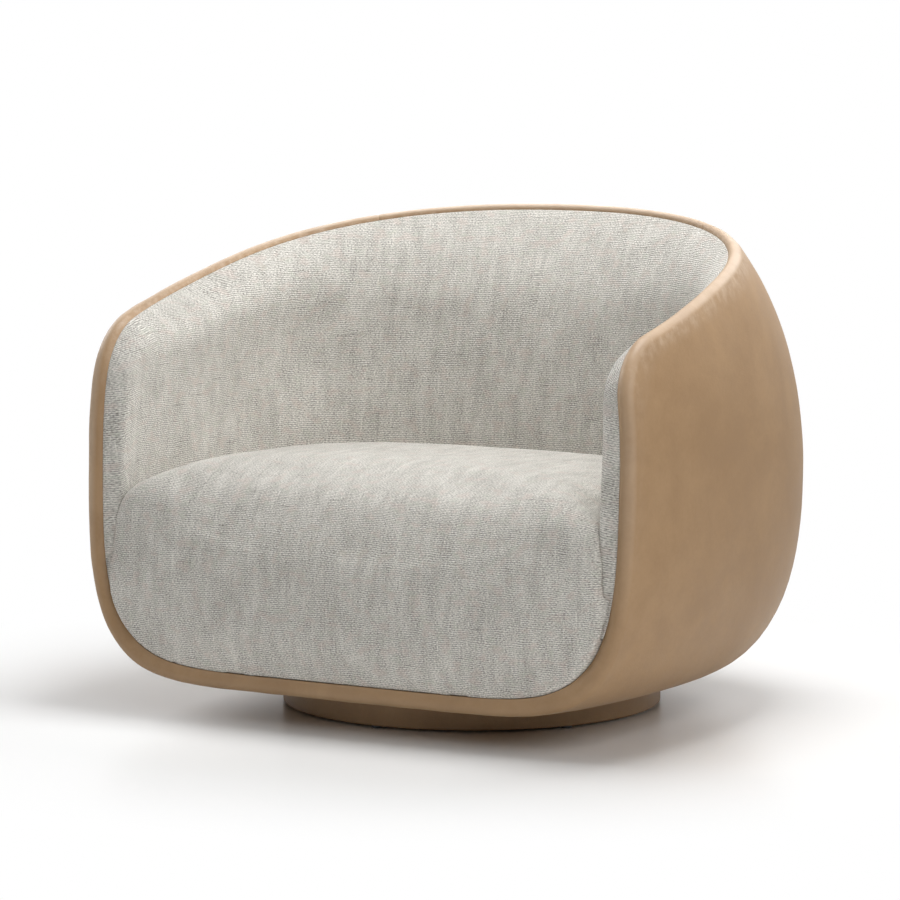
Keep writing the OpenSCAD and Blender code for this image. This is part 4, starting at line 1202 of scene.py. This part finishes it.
def band_profile():
    """Closed section of the band, by distance from the axis and height: up outside and down inside."""
    r, low, top, inner = PLINTH_R, GLIDE_H, PLINTH_TOP, PLINTH_R - BAND_T
    low_turns, top_turns = np.radians((30, 60, 90)), np.radians((0, 22, 45, 68, 90))
    out = [(inner, low), (r - LOW_ROUND, low)]
    out += [(r - LOW_ROUND * (1 - math.sin(d)), low + LOW_ROUND * (1 - math.cos(d))) for d in low_turns]
    out += [(r, z) for z in np.linspace(low + 0.004, top - 0.006, 12)]
    out += [(r - TOP_ROUND * (1 - math.cos(d)), top - TOP_ROUND * (1 - math.sin(d))) for d in top_turns]
    out += [(inner - BAND_LAP + x, top) for x in (0.011, 0.006, 0.0008)]
    out += [(inner - BAND_LAP, top - 0.0008), (inner - BAND_LAP, top - 0.0018)]
    out += [(inner - 0.006, top - 0.002), (inner, top - 0.002)]
    out += [(inner, z) for z in np.linspace(top - 0.006, low + 0.004, 6)]
    return np.array(out + out[:1])


def plinth_band():
    """Leather round the drum, lapped over its upper edge, with a closed upright seam at the back."""
    profile = band_profile()
    off = np.concatenate([np.geomspace(0.12, 3.0, 12), np.linspace(4.5, 180, 116)])
    turn = np.radians(BAND_SEAM + np.concatenate([-off[::-1], [0], off]))
    sink = seam_sink(np.abs(turn - math.radians(BAND_SEAM)) * PLINTH_R, BAND_SEAM_LINE, BAND_SEAM_DIP)
    outside = np.where(profile[None, :, 0] > PLINTH_R - 0.001, 1, 0)
    reach = profile[None, :, 0] - outside * sink[:, None]
    height = np.tile(profile[:, 1], (len(turn), 1))
    points = np.stack([reach * np.cos(turn)[:, None], reach * np.sin(turn)[:, None], height], -1)
    ob = draped_grid("plinth_band_leather", points)
    outward(ob)
    co = coords(ob)
    give = np.array([noise.noise(Vector(c) * 26.0) - 1 for c in co]) * BAND_LUMPS
    way = (co - [0, AXIS_Y, 0]) * [1, 1, 0]
    reach = np.linalg.norm(way, axis=1)
    put_coords(ob, co + way / reach[:, None] * (give * (reach > PLINTH_R - 0.0018))[:, None])
    smooth(ob, 40)
    return ob


finish_piece(plinth_band(), "plinth", plinth_leather, "plinth_leather", "plinth_leather_band")


# Camera, light and floor
CAMERA_TURN, CAMERA_PITCH, CAMERA_SWING = 29.829862, 6.1204, 0.337511
CAMERA_AWAY, CAMERA_H, CAMERA_LENS = 5.746805, 1.005573, 149.758

cam = bpy.data.objects.new("camera", bpy.data.cameras.new("camera"))
scene.collection.objects.link(cam)
turn, pitch = math.radians(CAMERA_TURN), math.radians(CAMERA_PITCH)
cam.location = (math.sin(turn) * CAMERA_AWAY, -math.cos(turn) * CAMERA_AWAY + AXIS_Y, CAMERA_H)
forward = Vector((-math.sin(turn) * math.cos(pitch), math.cos(turn) * math.cos(pitch), -math.sin(pitch)))
swing = math.radians(CAMERA_SWING)
forward = Vector((forward.x * math.cos(swing) - forward.y * math.sin(swing),
                  forward.x * math.sin(swing) + forward.y * math.cos(swing), forward.z))
cam.rotation_mode = "QUATERNION"
cam.rotation_quaternion = forward.to_track_quat("-Z", "Y")
cam.data.sensor_width, cam.data.lens = 36.0, CAMERA_LENS
cam.data.clip_end = 100.0
scene.camera = cam

world = bpy.data.worlds.new("white room")
scene.world = world
world.use_nodes = True
g = Graph(world.node_tree)
world.node_tree.nodes.clear()
path = g.add("ShaderNodeLightPath").outputs
plain = g.add("ShaderNodeBackground", None, Color=(0.97, 0.985, 1, 1), Strength=0.06)
bright = g.add("ShaderNodeBackground", None, Color=(1, 1, 1, 1), Strength=1.0)
seen = g.math("MAXIMUM", path["Is Camera Ray"], path["Is Glossy Ray"])
seen = g.math("MAXIMUM", seen, path["Is Transmission Ray"])
shade = g.add("ShaderNodeMixShader", None, i0=seen, i1=plain.outputs[0], i2=bright.outputs[0])
out = g.add("ShaderNodeOutputWorld")
world.node_tree.links.new(shade.outputs[0], out.inputs[0])


# Name, place, height that it points at, width and height, and watts
LAMPS = (
    ("wide overhead", (0.3, -0.3, 3.0), 0.3, (3.2, 3.2), 3),
    ("overhead", (0.4, 0.1, 2.6), 0.3, (1.2, 1.2), 45),
    ("right", (3.2, -0.6, 2.2), 0.4, (2.0, 2.0), 39),
    ("front right", (2.6, -2.6, 2.0), 0.4, (1.8, 1.8), 26),
    ("front left", (-2.8, -2.0, 1.9), 0.4, (1.8, 1.8), 19),
    ("left", (-3.2, 0.3, 2.2), 0.4, (1.8, 1.8), 42),
    ("back", (0.5, 3.0, 2.6), 0.5, (2.4, 1.6), 27),
)


def lamp(name, place, aim_z, size, watts):
    light = bpy.data.lights.new(name, "AREA")
    light.shape, light.size, light.size_y = "RECTANGLE", *size
    light.energy = watts
    ob = bpy.data.objects.new(name, light)
    scene.collection.objects.link(ob)
    ob.location = place
    ob.rotation_mode = "QUATERNION"
    ob.rotation_quaternion = (Vector((0, 0, aim_z)) - Vector(place)).to_track_quat("-Z", "Y")


for row in LAMPS:
    lamp(*row)

bpy.ops.mesh.primitive_plane_add(size=40)
floor = bpy.context.object
floor.name = "floor"
finish, g, shader = material("pale glossy floor")
shader.inputs["Base Color"].default_value = (0.90, 0.90, 0.895, 1)
shader.inputs["Roughness"].default_value = 0.30
shader.inputs["Specular IOR Level"].default_value = 0.3
at = g.add("ShaderNodeTexCoord").outputs["Object"]
far = g.ramp(g.add("ShaderNodeVectorMath", {"operation": "LENGTH"}, Vector=at).outputs["Value"], 0.6, 1.1)
seen = g.add("ShaderNodeLightPath").outputs["Is Camera Ray"]
glow = g.add("ShaderNodeEmission").outputs[0]
fade = g.add("ShaderNodeMixShader", None, i0=g.math("MULTIPLY", far, seen), i1=shader.outputs[0], i2=glow)
finish.node_tree.links.new(fade.outputs[0], finish.node_tree.nodes["Material Output"].inputs[0])
floor.data.materials.append(finish)

scene.view_settings.view_transform = "Standard"
